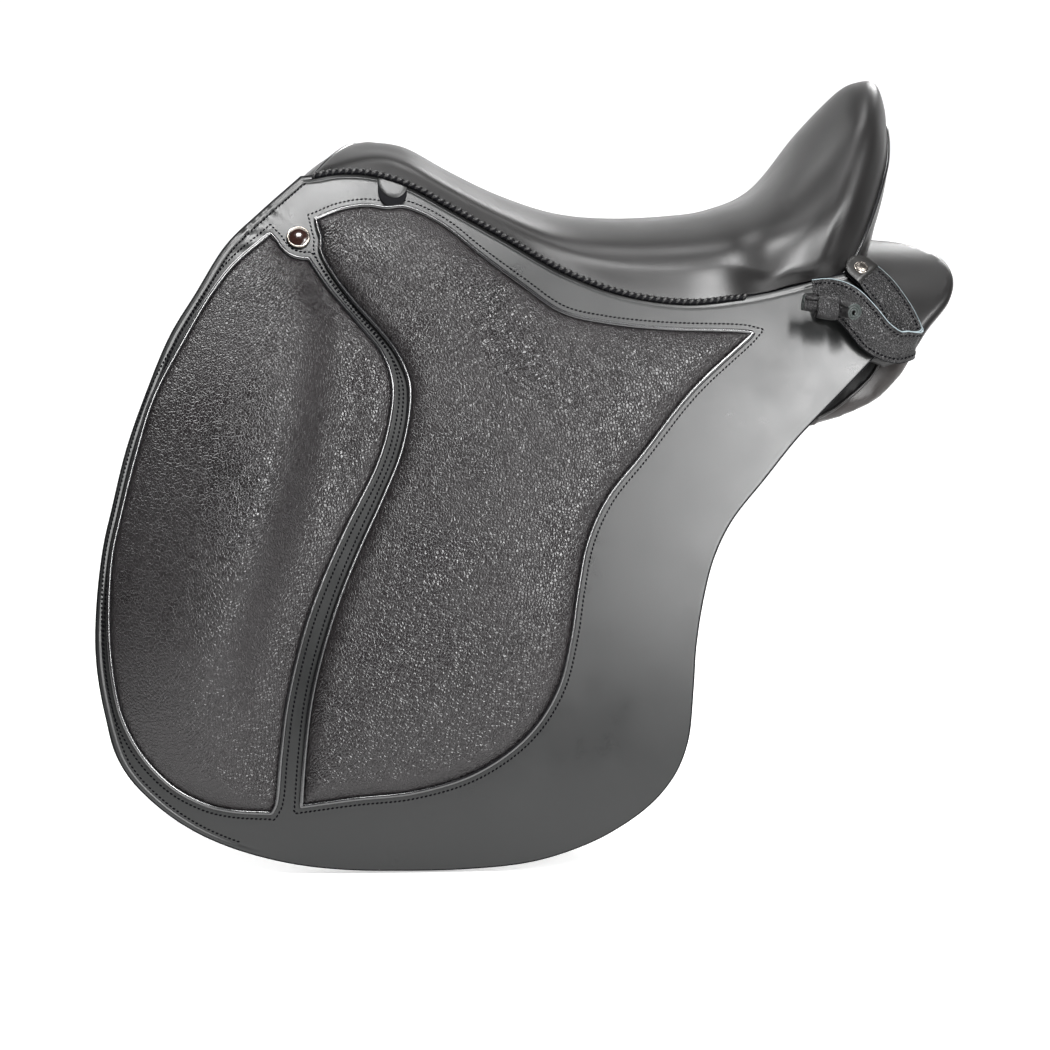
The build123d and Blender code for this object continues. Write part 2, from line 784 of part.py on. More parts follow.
panel_sections = []
for i, (low_share, spread_share, inner_share) in enumerate(panel_shares):
    low = below(low_share)
    low_out = (-(face_y(low, leg_out) - fit) * spread_share, low)
    low_in = (-channel_half_width * channel_flare_share, below(inner_share))
    half = tree_half(i)
    if i < lobe_first:
        top = arch_circle(i)[2] - fit
        middle = -(channel_half_width + half) / 2
        corners = (-channel_half_width, top), (middle, top + fit / 4), (-half + fit, top)
    else:
        corners = lobe_point(channel_half_width), lobe_point(half * panel_crown_share), lobe_point(half)
    panel_sections.append(panel_section(along(seat_shares[i][0]), *corners, low_out, low_in))
for x_share, out_share, low_share, in_share, low_z_share, in_z_share in panel_tail_shares:
    outer, inner = lobe_half_width * out_share, lobe_half_width * in_share
    corners = lobe_point(inner), lobe_point((outer + inner) / 2), lobe_point(outer)
    low_out = (-lobe_half_width * low_share, below(low_z_share))
    low_in = (-inner * channel_flare_share, below(in_z_share))
    panel_sections.append(panel_section(along(x_share), *corners, low_out, low_in))
with BuildPart() as panel:
    loft(panel_sections, ruled=True)
write_pair(panel, "panel")

# Stirrup bar: a plate riveted to the tree, with a bar that is open at the rear
rod_radius = bar_diameter / 2
rod_lift_share = 0.30
plate_in = -(boss_face + fit)
plate_out = plate_in - bar_plate_wall
rod_y = plate_out - leather_slot - rod_radius
rod_z = bar_low + bar_plate_height * rod_lift_share
tongue_length = catch_width
tongue_wall = catch_wall
rod_end = bar_front + bar_length - tongue_length
tongue_y = rod_y + rod_radius - tongue_wall / 2
rivet_inset_share = 0.2
rivet_height_share = 0.70
rivet_places = [
    (bar_front + bar_length * rivet_inset_share, bar_low + bar_plate_height * rivet_height_share),
    (bar_front + bar_length * (1 - rivet_inset_share), bar_low + bar_plate_height * rivet_height_share),
]
pivot_x = rod_end + tongue_length / 2
with BuildPart() as stirrup_bar:
    with Locations((bar_front, plate_in, bar_low)):
        Box(bar_length, bar_plate_wall, bar_plate_height, align=(Align.MIN, Align.MAX, Align.MIN))
    with BuildSketch(Plane.XZ):
        with Locations(*rivet_places):
            Circle(rivet_diameter / 2 + pin_fit)
    extrude(amount=2 * flap_half_spread, mode=Mode.SUBTRACT)
    with BuildSketch(Plane.YZ.offset(bar_front)):
        with Locations((rod_y, rod_z)):
            Circle(rod_radius)
    extrude(amount=rod_end - bar_front)
    with Locations((bar_front, plate_in, rod_z)):
        Box(bar_diameter, plate_in - rod_y, bar_diameter, align=(Align.MIN, Align.MAX, Align.CENTER))
    with Locations((rod_end - overrun, tongue_y, rod_z)):
        tongue_align = (Align.MIN, Align.CENTER, Align.CENTER)
        Box(tongue_length + overrun, tongue_wall, bar_diameter, align=tongue_align)
    with BuildSketch(Plane.XZ.offset(-tongue_y - tongue_wall)):
        with Locations((pivot_x, rod_z)):
            Circle(catch_pin_diameter / 2 + pin_fit)
    extrude(amount=2 * tongue_wall, mode=Mode.SUBTRACT)
write_pair(stirrup_bar, "stirrup_bar")

with BuildPart() as bar_rivets:
    with BuildSketch(Plane.XZ.offset(-plate_in)):
        with Locations(*rivet_places):
            Circle(rivet_diameter / 2)
    extrude(amount=bar_plate_wall)
write_pair(bar_rivets, "bar_rivets")

# Safety catch, pinned to the end of the bar
catch_in = tongue_y - tongue_wall / 2 - pin_fit
with BuildPart() as bar_catch:
    with BuildSketch(Plane.XZ.offset(-catch_in)):
        with Locations((pivot_x, rod_z + catch_length / 2 - catch_width / 2)):
            SlotOverall(catch_length, catch_width, rotation=90)
    extrude(amount=catch_wall)
    with BuildSketch(Plane.XZ.offset(-catch_in)):
        with Locations((pivot_x, rod_z)):
            Circle(catch_pin_diameter / 2)
    extrude(amount=-tongue_wall - pin_fit)
write_pair(bar_catch, "bar_catch")
print("catch pivot", round(pivot_x, 3), round(catch_in, 3), round(rod_z, 3))

# Girth straps, each hung from a hanger that comes down from the tree
billet_centre_shares = {"front": -0.090, "rear": 0.070}
billet_top_share = 0.040
billet_hole_first_share = 0.09
kink_share = 0.055
hanger_end_share = -0.010
hanger_rise_share = 0.80
billet_point_shares = [(1, 1), (0.5, 0), (-0.5, 0), (-1, 1)]
billet_out = -flap_wall - hanger_wall - 2 * fit
billet_top = below(billet_top_share)
for name, share in billet_centre_shares.items():
    x = along(share)
    half = billet_width / 2
    low = billet_top - billet_length
    with BuildPart() as billet:
        add(
            cut_sheet(
                [(x - half, billet_top), (x + half, billet_top)],
                [(x + side * half, low + lift * half) for side, lift in billet_point_shares],
                billet_out,
                billet_out - billet_wall,
            ).part
        )
        with BuildSketch(Plane.XZ):
            row_middle = low + billet_length * billet_hole_first_share + billet_hole_pitch * billet_holes / 2
            with Locations((x, row_middle)):
                with GridLocations(billet_hole_pitch, billet_hole_pitch, 1, billet_holes):
                    Circle(billet_hole_diameter / 2)
        extrude(amount=2 * flap_half_spread, mode=Mode.SUBTRACT)
    write_pair(billet, f"{name}_billet")
    hole_z = low + billet_length * billet_hole_first_share + billet_hole_pitch / 2
    hole_y = -face_y(hole_z, billet_out)
    print(name, "billet", [round(v, 3) for v in (x, hole_y, hole_z, billet_top)])
    tree_edge = [(along(seat_shares[i][0]), tree_half(i)) for i in range(len(tree_shares))]
    tree_reach = between(x, tree_edge)
    tree_foot = between(x, [(along(s[0]), above(t[1])) for s, t in zip(seat_shares, tree_shares)])
    kink, hang = below(kink_share), below(hanger_end_share)
    out, inside = -flap_wall - fit, -flap_wall - fit - hanger_wall
    start = tree_foot + tree_wall * hanger_rise_share
    with BuildPart() as hanger:
        with BuildSketch(Plane.YZ.offset(x - half)):
            with BuildLine():
                Polyline(
                    (-tree_reach - fit, start),
                    (-face_y(kink + hanger_wall, out), kink + hanger_wall),
                    (-face_y(hang, out), hang),
                    (-face_y(hang, inside), hang),
                    (-face_y(kink, inside), kink),
                    (-tree_reach - fit, start - hanger_wall),
                    close=True,
                )
            make_face()
        extrude(amount=billet_width)
    write_pair(hanger, f"{name}_hanger")

# Rear strap: a loop that leaves its rivet, folds back and closes on a toggle. Each place has
# its share along the saddle, its depth inside the flap's widest line and its height as shares
# of the flap's drop, its tilt in degrees and its splay
strap_route_shares = [
    (0.466, 0.2585, 0.150, 48, 0.48),
    (0.516, 0.2320, 0.095, 48, 0.44),
    (0.548, 0.2217, 0.048, 45, 0.3),
    (0.567, 0.2160, 0.014, 38, 0.1),
    (0.581, 0.2075, -0.002, 30, 0),
    (0.583, 0.1927, -0.008, 25, 0),
    (0.566, 0.1807, -0.015, 20, 0),
    (0.538, 0.1727, -0.018, 26, 0),
    (0.508, 0.1704, -0.002, 38, 0),
    (0.484, 0.1756, 0.029, 44, 0),
    (0.460, 0.1887, 0.055, 30, 0),
    (0.432, 0.1995, 0.067, 8, 0),
    (0.408, 0.2046, 0.070, 0, 0),
]
strap_rivet_share = (0.482, 0.128)
strap_rivet_x, strap_rivet_z = along(strap_rivet_share[0]), below(strap_rivet_share[1])
strap_points = []
for row in strap_route_shares:
    strap_points.append(Vector(along(row[0]), below(row[1]) - flap_half_spread, below(row[2])))

# The rivet stands square to the skirt's curved face
face_centre_y = flap_arc_radius - flap_half_spread
rivet_foot = Vector(strap_rivet_x, -face_y(strap_rivet_z, fit), strap_rivet_z)
rivet_way = Vector(0, rivet_foot.Y - face_centre_y, rivet_foot.Z + flap_drop).normalized()
rivet_plane = Plane(rivet_foot, x_dir=(1, 0, 0), z_dir=rivet_way)

with BuildPart() as rear_strap:
    ribbons = []
    for i, (x, y, z, tilt, splay) in enumerate(strap_route_shares):
        ahead = strap_points[min(i + 1, len(strap_points) - 1)]
        behind = strap_points[max(i - 1, 0)]
        run = (ahead - behind).normalized()
        lean = math.radians(tilt)
        upward = Vector(math.sin(lean), splay * math.cos(lean), math.cos(lean))
        upward = (upward - run * upward.dot(run)).normalized()
        with BuildSketch(Plane(strap_points[i], x_dir=upward, z_dir=run), mode=Mode.PRIVATE) as ribbon:
            Rectangle(strap_width, strap_wall)
        ribbons.append(ribbon.sketch)
    loft(ribbons, ruled=True)
    with BuildSketch(rivet_plane):
        Circle(strap_rivet_shank / 2 + pin_fit)
    extrude(amount=strap_rivet_reach, mode=Mode.SUBTRACT)
write_pair(rear_strap, "rear_strap")

# Rivet that carries the strap, seated on the skirt
with BuildPart() as strap_rivet:
    with BuildSketch(rivet_plane):
        Circle(strap_rivet_shank / 2)
    extrude(amount=strap_rivet_reach)
    with BuildSketch(rivet_plane.offset(strap_rivet_reach)):
        Circle(strap_rivet_head / 2)
    extrude(amount=strap_rivet_head_wall)
write_pair(strap_rivet, "strap_rivet")
foot_text = [round(v, 3) for v in (rivet_foot.X, rivet_foot.Y, rivet_foot.Z)]
way_text = [round(v, 5) for v in (rivet_way.X, rivet_way.Y, rivet_way.Z)]
print("strap rivet", foot_text, "way", way_text)

# Toggle on the end of the strap
toggle_place = len(strap_points) - 2
toggle_ahead_share = 0.6
with BuildPart() as toggle:
    seat_point = strap_points[toggle_place]
    strap_face_y = min(p.Y for p in strap_points[toggle_place - 1 :]) - strap_wall / 2
    toggle_y = strap_face_y - fit - toggle_diameter / 2
    with BuildSketch(Plane.YZ.offset(seat_point.X - toggle_length * toggle_ahead_share)):
        with Locations((toggle_y, seat_point.Z)):
            Circle(toggle_diameter / 2)
    extrude(amount=toggle_length)
write_pair(toggle, "toggle")
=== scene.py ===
# %% [markdown]
# # A dressage saddle in black leather
# The saddle's working model comes first: one mesh for each piece of leather, steel and
# moulding, already in its place. This lesson dresses it. Leather that shows gets its own
# smooth mesh with rolled edges, seams and stitches, and every surface gets a finish made
# from nodes. All sizes are in metres, +X runs to the cantle and +Z is up.

# %% Load the working model
import math

import bpy
import numpy as np
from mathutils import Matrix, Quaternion, Vector
from mathutils.bvhtree import BVHTree
from mathutils.geometry import delaunay_2d_cdt


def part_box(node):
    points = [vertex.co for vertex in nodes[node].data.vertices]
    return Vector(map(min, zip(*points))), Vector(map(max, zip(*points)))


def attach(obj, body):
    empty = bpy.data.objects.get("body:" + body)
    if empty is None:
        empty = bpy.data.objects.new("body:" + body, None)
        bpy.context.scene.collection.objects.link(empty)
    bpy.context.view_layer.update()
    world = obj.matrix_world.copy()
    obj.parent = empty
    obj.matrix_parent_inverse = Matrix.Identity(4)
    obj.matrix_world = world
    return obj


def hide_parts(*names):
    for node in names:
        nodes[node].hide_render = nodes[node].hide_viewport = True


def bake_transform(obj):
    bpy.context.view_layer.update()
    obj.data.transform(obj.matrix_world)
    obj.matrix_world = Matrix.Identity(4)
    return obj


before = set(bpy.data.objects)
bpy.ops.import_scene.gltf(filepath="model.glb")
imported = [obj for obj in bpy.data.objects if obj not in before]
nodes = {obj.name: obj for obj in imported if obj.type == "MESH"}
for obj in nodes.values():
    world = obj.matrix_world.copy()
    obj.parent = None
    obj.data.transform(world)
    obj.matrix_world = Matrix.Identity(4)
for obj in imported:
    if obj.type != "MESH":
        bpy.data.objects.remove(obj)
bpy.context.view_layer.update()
mm = 0.001
SIDES = {"left": -1, "right": 1}
print("pieces in the working model:", len(nodes))

# %% [markdown]
# ## Smooth runs through points
# A pattern cutter draws an edge through a few marks. Blender's own curves could do that, but
# their handles would have to be set one by one. A centripetal spline is worked out instead,
# because it passes through each mark and makes no loops where marks lie close.

# %% Smooth runs and loops


def even_steps(points, step, closed):
    """The same run with its points an even step apart."""
    run = np.vstack([points, points[:1]]) if closed else points
    lengths = np.concatenate([[0], np.cumsum(np.linalg.norm(np.diff(run, axis=0), axis=1))])
    count = max(int(round(lengths[-1] / step)), 3)
    places = np.linspace(0, lengths[-1], count + 1)
    if closed:
        places = places[:-1]
    return np.column_stack([np.interp(places, lengths, run[:, k]) for k in range(run.shape[1])])


def smooth_run(marks, step):
    """A centripetal spline through marks, with points an even step apart."""
    marks = np.array(marks, float)
    padded_marks = np.vstack([2 * marks[0] - marks[1], marks, 2 * marks[-1] - marks[-2]])
    fine = []
    for a, b, c, d in zip(padded_marks, padded_marks[1:], padded_marks[2:], padded_marks[3:]):
        ta = 0.0
        tb = ta + max(np.linalg.norm(b - a), 1e-9) ** 0.5
        tc = tb + max(np.linalg.norm(c - b), 1e-9) ** 0.5
        td = tc + max(np.linalg.norm(d - c), 1e-9) ** 0.5
        for t in np.linspace(tb, tc, 16, endpoint=False):
            p = a * (tb - t) / (tb - ta) + b * (t - ta) / (tb - ta)
            q = b * (tc - t) / (tc - tb) + c * (t - tb) / (tc - tb)
            r = c * (td - t) / (td - tc) + d * (t - tc) / (td - tc)
            pq = p * (tc - t) / (tc - ta) + q * (t - ta) / (tc - ta)
            qr = q * (td - t) / (td - tb) + r * (t - tb) / (td - tb)
            fine.append(pq * (tc - t) / (tc - tb) + qr * (t - tb) / (tc - tb))
    fine.append(marks[-1])
    return even_steps(np.array(fine), step, False)


def loop_of(runs, step):
    """A closed loop of smooth runs that meet at sharp corners, turning left all the way."""
    points = np.vstack([smooth_run(run, step)[:-1] for run in runs])
    x, z = points[:, 0], points[:, 1]
    area = np.sum(x * np.roll(z, -1) - np.roll(x, -1) * z)
    return points if area > 0 else points[::-1].copy()


least_mitre = 0.55


def moved_in(loop, distance):
    """The loop moved inwards, or outwards for a negative distance."""
    way = np.roll(loop, -1, axis=0) - loop
    way /= np.maximum(np.linalg.norm(way, axis=1, keepdims=True), 1e-12)
    normal = np.column_stack([-way[:, 1], way[:, 0]])
    mitre = normal + np.roll(normal, 1, axis=0)
    length = np.linalg.norm(mitre, axis=1, keepdims=True)
    mitre /= np.maximum(length, 1e-9)
    stretch = 1 / np.maximum(length / 2, least_mitre)
    return loop + mitre * stretch * distance


test_square = mm * np.array([(0, 0), (40, 0), (40, 40), (0, 40)])
print("first corner of a 40 mm square moved in by 5 mm:", moved_in(test_square, 5 * mm)[0] / mm)

# %% [markdown]
# ## The flap's curved face
# Each flap wraps round the horse, so its leather lies on a wide cylinder. Every sheet on
# the side of the saddle is drawn flat, as (x, z), and then laid on this face at a height
# above it. A Shrinkwrap could press a flat sheet on to a cylinder too, but a formula keeps
# every layer at its own exact height.

# %% Lay flat drawings on the flap's face
flap_drop, flap_spread, flap_radius = 0.400, 0.228, 1.050


def face(z, out=0.0):
    """Half width of the flap's face at a height, moved outwards."""
    return flap_spread - flap_radius + np.sqrt((flap_radius + out) ** 2 - (z + flap_drop) ** 2)


def laid(points, out):
    """Places on the left flap of flat points (x, z) at heights out."""
    x, z = points[:, 0], points[:, 1]
    return np.column_stack([x, -face(z, out), z])


def face_normal(z):
    """Outward direction of the left flap's face at a height."""
    y = -(face(z) - flap_spread + flap_radius)
    return np.column_stack([np.zeros_like(z), y / flap_radius, (z + flap_drop) / flap_radius])


print("half width at the flap's lower edge, mm:", round(float(face(-flap_drop)) / mm, 1))

# %% [markdown]
# ## Fill a drawing with triangles
# A sheet needs points inside its outline too, or it can't bend with the face. One large
# face would be quicker, but its long thin triangles would crease the leather. So points in
# staggered rows are laid inside the outline, and a Delaunay fill joins them and keeps every
# edge of the outline.

# %% Fill an outline


def distance_to(points, loop):
    """Distance from points to a closed loop, and whether they lie inside it."""
    start, stop = loop, np.roll(loop, -1, axis=0)
    way = stop - start
    long = np.maximum((way**2).sum(1), 1e-18)
    best = np.full(len(points), 1e9)
    inside = np.zeros(len(points), bool)
    for a, w, l2, b in zip(start, way, long, stop):
        t = np.clip(((points - a) @ w) / l2, 0, 1)
        best = np.minimum(best, np.hypot(*(points - a - t[:, None] * w).T))
        if a[1] != b[1]:
            crosses = (a[1] > points[:, 1]) != (b[1] > points[:, 1])
            reach = a[0] + (points[:, 1] - a[1]) * (b[0] - a[0]) / (b[1] - a[1])
            inside ^= crosses & (points[:, 0] < reach)
    return best, inside


row_share = 0.866


def filled(loops, grid):
    """Points and triangles inside the first loop and outside the others."""
    rim = np.vstack(loops)
    edges, start = [], 0
    for loop in loops:
        edges += [(start + i, start + (i + 1) % len(loop)) for i in range(len(loop))]
        start += len(loop)
    low, high = rim.min(0), rim.max(0)
    rows = []
    for j, z in enumerate(np.arange(low[1] + grid / 2, high[1], grid * row_share)):
        xs = np.arange(low[0] + (j % 2) * grid / 2, high[0], grid)
        rows.append(np.column_stack([xs, np.full(len(xs), z)]))
    inner = np.vstack(rows)
    keep = np.ones(len(inner), bool)
    for i, loop in enumerate(loops):
        far, inside = distance_to(inner, loop)
        keep &= (far > grid * 0.5) & (inside if i == 0 else ~inside)
    points = np.vstack([rim, inner[keep]])
    given = [Vector((float(x), float(z))) for x, z in points]
    made = delaunay_2d_cdt(given, edges, [], 1, 1e-9)
    first = [group[0] if group else -1 for group in made[3]]
    tris = [tuple(first[v] for v in tri) for tri in made[2]]
    tris = np.array([t for t in tris if min(t) >= 0 and len(set(t)) == 3])
    middle = points[tris].mean(1)
    keep = np.ones(len(tris), bool)
    for i, loop in enumerate(loops):
        inside = distance_to(middle, loop)[1]
        keep &= inside if i == 0 else ~inside
    tris = tris[keep]
    a, b, c = points[tris[:, 0]], points[tris[:, 1]], points[tris[:, 2]]
    turn = (b[:, 0] - a[:, 0]) * (c[:, 1] - a[:, 1]) - (b[:, 1] - a[:, 1]) * (c[:, 0] - a[:, 0])
    tris[turn < 0] = tris[turn < 0][:, ::-1]
    return points, tris


print("triangles in the filled 40 mm square:", len(filled([test_square], 8 * mm)[1]))

# %% [markdown]
# ## Meshes for both sides
# A saddler cuts the pieces in pairs, one pattern turned over for the other side. A Mirror modifier would join
# both sides in one piece, but each side moves by itself. So each left mesh is mirrored in code, with its
# faces turned round so that they still point outwards, and each piece rides on the body that carries it in
# the working model, except the pieces across the fold, which ride on none.

# %% Make pieces in pairs


def new_piece(name, verts, faces, material):
    """An object with a smooth mesh and one finish, linked to the scene."""
    mesh = bpy.data.meshes.new(name)
    mesh.from_pydata([tuple(map(float, v)) for v in verts], [], [tuple(map(int, f)) for f in faces])
    mesh.polygons.foreach_set("use_smooth", [True] * len(mesh.polygons))
    mesh.materials.append(material)
    piece = bpy.data.objects.new(name, mesh)
    bpy.context.scene.collection.objects.link(piece)
    return piece


def place(piece, body, slot, replaced=(), fold=None):
    """Puts a piece on its body; a piece across the fold keeps its place in the world and rides on no body."""
    if fold:
        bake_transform(piece)
    else:
        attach(piece, body)
    if replaced:
        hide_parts(*replaced)
    return piece


def pair(name, mesh, material, body, slot, replaced=(), fold=False, edge_finish=None):
    """Left and right pieces from the left mesh, which may say which faces are its cut edge."""
    verts, faces = np.array(mesh[0], float), mesh[1]
    for side, sign in SIDES.items():
        turned = faces if sign < 0 else [tuple(reversed(f)) for f in faces]
        piece = new_piece(f"{side}_{name}", verts * (1, -sign, 1), turned, material)
        if edge_finish:
            piece.data.materials.append(edge_finish)
            for polygon in piece.data.polygons[mesh[2][0] : mesh[2][1]]:
                polygon.material_index = 1
        on = "root" if body == "root" else f"{side}_{body}"
        place(piece, on, slot, [f"{side}_{n}" for n in replaced], fold_of(sign) if fold else None)
    print(f"{name}: {len(faces)} faces a side")


fold_front, fold_rear = np.array([-0.210, 0.135]), np.array([0.245, -0.0194])
fold_reach = 0.004


def fold_of(sign):
    """Two points across the flap's fold line, above and below it."""
    middle = (fold_front + fold_rear) / 2
    way = (fold_rear - fold_front) / np.linalg.norm(fold_rear - fold_front)
    down = np.array([way[1], -way[0]])
    down = down if down[1] < 0 else -down
    above, below = middle - down * fold_reach, middle + down * fold_reach
    return [
        (float(p[0]), float(sign * face(np.array([p[1]]))[0]), float(p[1])) for p in (above, below)
    ]


print("fold line's length, mm:", round(float(np.linalg.norm(fold_rear - fold_front)) / mm))

# %% [markdown]
# ## Sheets of leather
# Cut leather has a face, a back and a rounded edge. Solidify and Bevel could add those to
# a flat sheet, but a pressed crease has to follow the edge at an exact inset. So the sheet
# is built in rings: the face is filled first, and each ring then steps over the edge and
# down to the back.

# %% Build a sheet in rings


def rim_strip(count, first, second):
    """Faces between two rings of points, given where each ring starts."""
    return [
        (first + i, second + i, second + (i + 1) % count, first + (i + 1) % count)
        for i in range(count)
    ]


def round_edge(rim, wall):
    """Insets and heights round a cut edge, from its face down to its back."""
    cut = rim * 0.3
    return [(cut, -cut), (0.0, -rim), (0.0, -wall + rim), (cut, -wall + cut), (rim, -wall)]


def leather_sheet(loop, wall, grid, rim=0.0011, lift=None, rings=(), base=0.0, holes=()):
    """Closed sheet with rounded edges, its face at a height from lift(points).

    Rings are pairs of an inset and the heights there. The last value says which faces
    are the cut edge."""
    lift = lift or (lambda points: np.zeros(len(points)))
    face_rings = [*rings, (rim, 0.0)]
    outlines = [loop] + [hole[::-1] for hole in holes]
    insets = [face_rings[0][0]] + [rim] * len(holes)
    points, tris = filled([moved_in(o, inset) for o, inset in zip(outlines, insets)], grid)
    verts, faces = [laid(points, base + lift(points))], [tuple(t) for t in tris]
    total, first, edge_strips, bottoms = len(points), 0, [], []
    for i, outline in enumerate(outlines):
        n, previous = len(outline), first
        flat_rings = face_rings[1:] if i == 0 else []
        for k, (inset, drop) in enumerate([*flat_rings, *round_edge(rim, wall)]):
            ring = moved_in(outline, inset)
            heights = drop(ring) if callable(drop) else drop
            verts.append(laid(ring, base + lift(outline) + heights))
            strip = rim_strip(n, previous, total)
            if k >= len(flat_rings):
                edge_strips += strip
            else:
                faces += strip
            previous = total
            total += n
        bottoms.append(previous)
        first += n
    edge_range = (len(faces), len(faces) + len(edge_strips))
    faces += edge_strips
    back_points, back_tris = filled([moved_in(o, rim) for o in outlines], grid * 2)
    index, first = {}, 0
    for outline, bottom in zip(outlines, bottoms):
        index.update({first + i: bottom + i for i in range(len(outline))})
        first += len(outline)
    loose = back_points[first:]
    verts.append(laid(loose, base + lift(loose) - wall))
    index.update({first + i: total + i for i in range(len(loose))})
    faces += [tuple(index[v] for v in reversed(t)) for t in back_tris]
    return np.vstack(verts), faces, edge_range


print("faces in a 40 mm square of leather:", len(leather_sheet(test_square, 5 * mm, 8 * mm)[1]))

# %% [markdown]
# ## Tubes
# Piping and rolled edges are tubes along a path. A curve with a bevel makes a tube too, but
# it may twist where the path bends two ways. Here the ring of each step stands on the path's
# direction and on the surface below it, so the tube never twists.

# %% Tubes along a path


def tube(path, up, radius, sides=10, closed=True, flatten=1.0):
    """Mesh of a tube along path, with up giving the surface's direction at each point."""
    if closed:
        way = np.roll(path, -1, axis=0) - np.roll(path, 1, axis=0)
    else:
        way = np.gradient(path, axis=0)
    way /= np.linalg.norm(way, axis=1, keepdims=True)
    across = np.cross(way, up)
    across /= np.linalg.norm(across, axis=1, keepdims=True)
    up = np.cross(across, way)
    verts, faces = [], []
    for k in range(sides):
        turn = 2 * math.pi * k / sides
        shift = across * math.cos(turn) + up * math.sin(turn) * flatten
        verts.append(path + shift * radius)
    n = len(path)
    verts = np.stack(verts, axis=1).reshape(-1, 3)
    last = n if closed else n - 1
    for i in range(last):
        j = (i + 1) % n
        for k in range(sides):
            m = (k + 1) % sides
            faces.append((i * sides + k, i * sides + m, j * sides + m, j * sides + k))
    if not closed:
        faces.append(tuple(range(sides - 1, -1, -1)))
        faces.append(tuple((n - 1) * sides + k for k in range(sides)))
    return verts, faces


test_path = np.column_stack([np.linspace(0, 40 * mm, 5), np.zeros(5), np.zeros(5)])
test_up = np.tile((0.0, 0.0, 1.0), (len(test_path), 1))
print("faces in a 40 mm tube:", len(tube(test_path, test_up, 2 * mm, closed=False)[1]))

# %% [markdown]
# ## Helpers for finishes
# Each finish is a Principled shader whose colour, roughness and height come from nodes that
# read Object coordinates. A few helpers add one node each, so a finish reads as a list of
# what the material does, and no picture has to be painted or unwrapped.

# %% One node each


def wire(tree, source, target):
    """Links one socket to another."""
    tree.links.new(source, target)


def noise(tree, place_socket, scale, detail=2.0, rough=0.5):
    """A noise texture at places given by a socket."""
    node = tree.nodes.new("ShaderNodeTexNoise")
    node.inputs["Scale"].default_value = scale
    node.inputs["Detail"].default_value = detail
    node.inputs["Roughness"].default_value = rough
    wire(tree, place_socket, node.inputs["Vector"])
    return node


def spread(tree, source, low, high, out_low, out_high):
    """Maps a value from one range to another."""
    node = tree.nodes.new("ShaderNodeMapRange")
    limits = {"From Min": low, "From Max": high, "To Min": out_low, "To Max": out_high}
    for name, value in limits.items():
        node.inputs[name].default_value = value
    wire(tree, source, node.inputs["Value"])
    return node.outputs["Result"]


def reckon(tree, operation, first, second):
    """A sum or product of two values, each a number or a socket."""
    node = tree.nodes.new("ShaderNodeMath")
    node.operation = operation
    for socket, value in zip(node.inputs, (first, second)):
        if isinstance(value, (int, float)):
            socket.default_value = value
        else:
            wire(tree, value, socket)
    return node.outputs["Value"]


def new_finish(name, color, rough, sheen=0.0, coat=0.0, level=0.5, metal=0.0):
    """A Principled finish; gives the material, its tree, its shader and its coordinates."""
    material = bpy.data.materials.new(name)
    material.use_nodes = True
    tree = material.node_tree
    shader = tree.nodes["Principled BSDF"]
    shader.inputs["Base Color"].default_value = (*color, 1)
    shader.inputs["Roughness"].default_value = rough
    shader.inputs["Metallic"].default_value = metal
    shader.inputs["Specular IOR Level"].default_value = level
    shader.inputs["Coat Weight"].default_value = coat
    shader.inputs["Coat Roughness"].default_value = 0.25
    shader.inputs["Sheen Weight"].default_value = sheen
    shader.inputs["Sheen Roughness"].default_value = 0.45
    spot = tree.nodes.new("ShaderNodeTexCoord").outputs["Object"]
    return material, tree, shader, spot


def tinted(tree, shader, source, dark, light):
    """Colour between two shades, by a value."""
    ramp = tree.nodes.new("ShaderNodeValToRGB")
    ramp.color_ramp.elements[0].color = (*dark, 1)
    ramp.color_ramp.elements[1].color = (*light, 1)
    wire(tree, source, ramp.inputs["Fac"])
    wire(tree, ramp.outputs["Color"], shader.inputs["Base Color"])


def raised(tree, shader, source, depth):
    """Lets a value stand off the surface as a bump of a depth."""
    bump = tree.nodes.new("ShaderNodeBump")
    bump.inputs["Strength"].default_value = 1.0
    bump.inputs["Distance"].default_value = depth
    wire(tree, source, bump.inputs["Height"])
    wire(tree, bump.outputs["Normal"], shader.inputs["Normal"])


print("helpers ready for finishes")

# %% [markdown]
# ## Leather
# Black leather is seen mostly by the light on its surface. The finish has three layers: large soft patches
# where hands and oil have changed the sheen, the grain itself, and fine pores. The grain could be moved in
# the mesh, but pebbles of two millimetres over a whole flap would need millions of faces. So it is a bump: a
# Voronoi pattern whose cell walls sink in, which gives pebbles, bent by a noise so that no two are alike. The
# same pattern also paints the colour darker in the creases and lighter on the pebbles, which is painted shade
# and painted light laid over the real bump.

# %% Grained leather
pebble_turn = math.radians(28)
patch_scale = 14.0


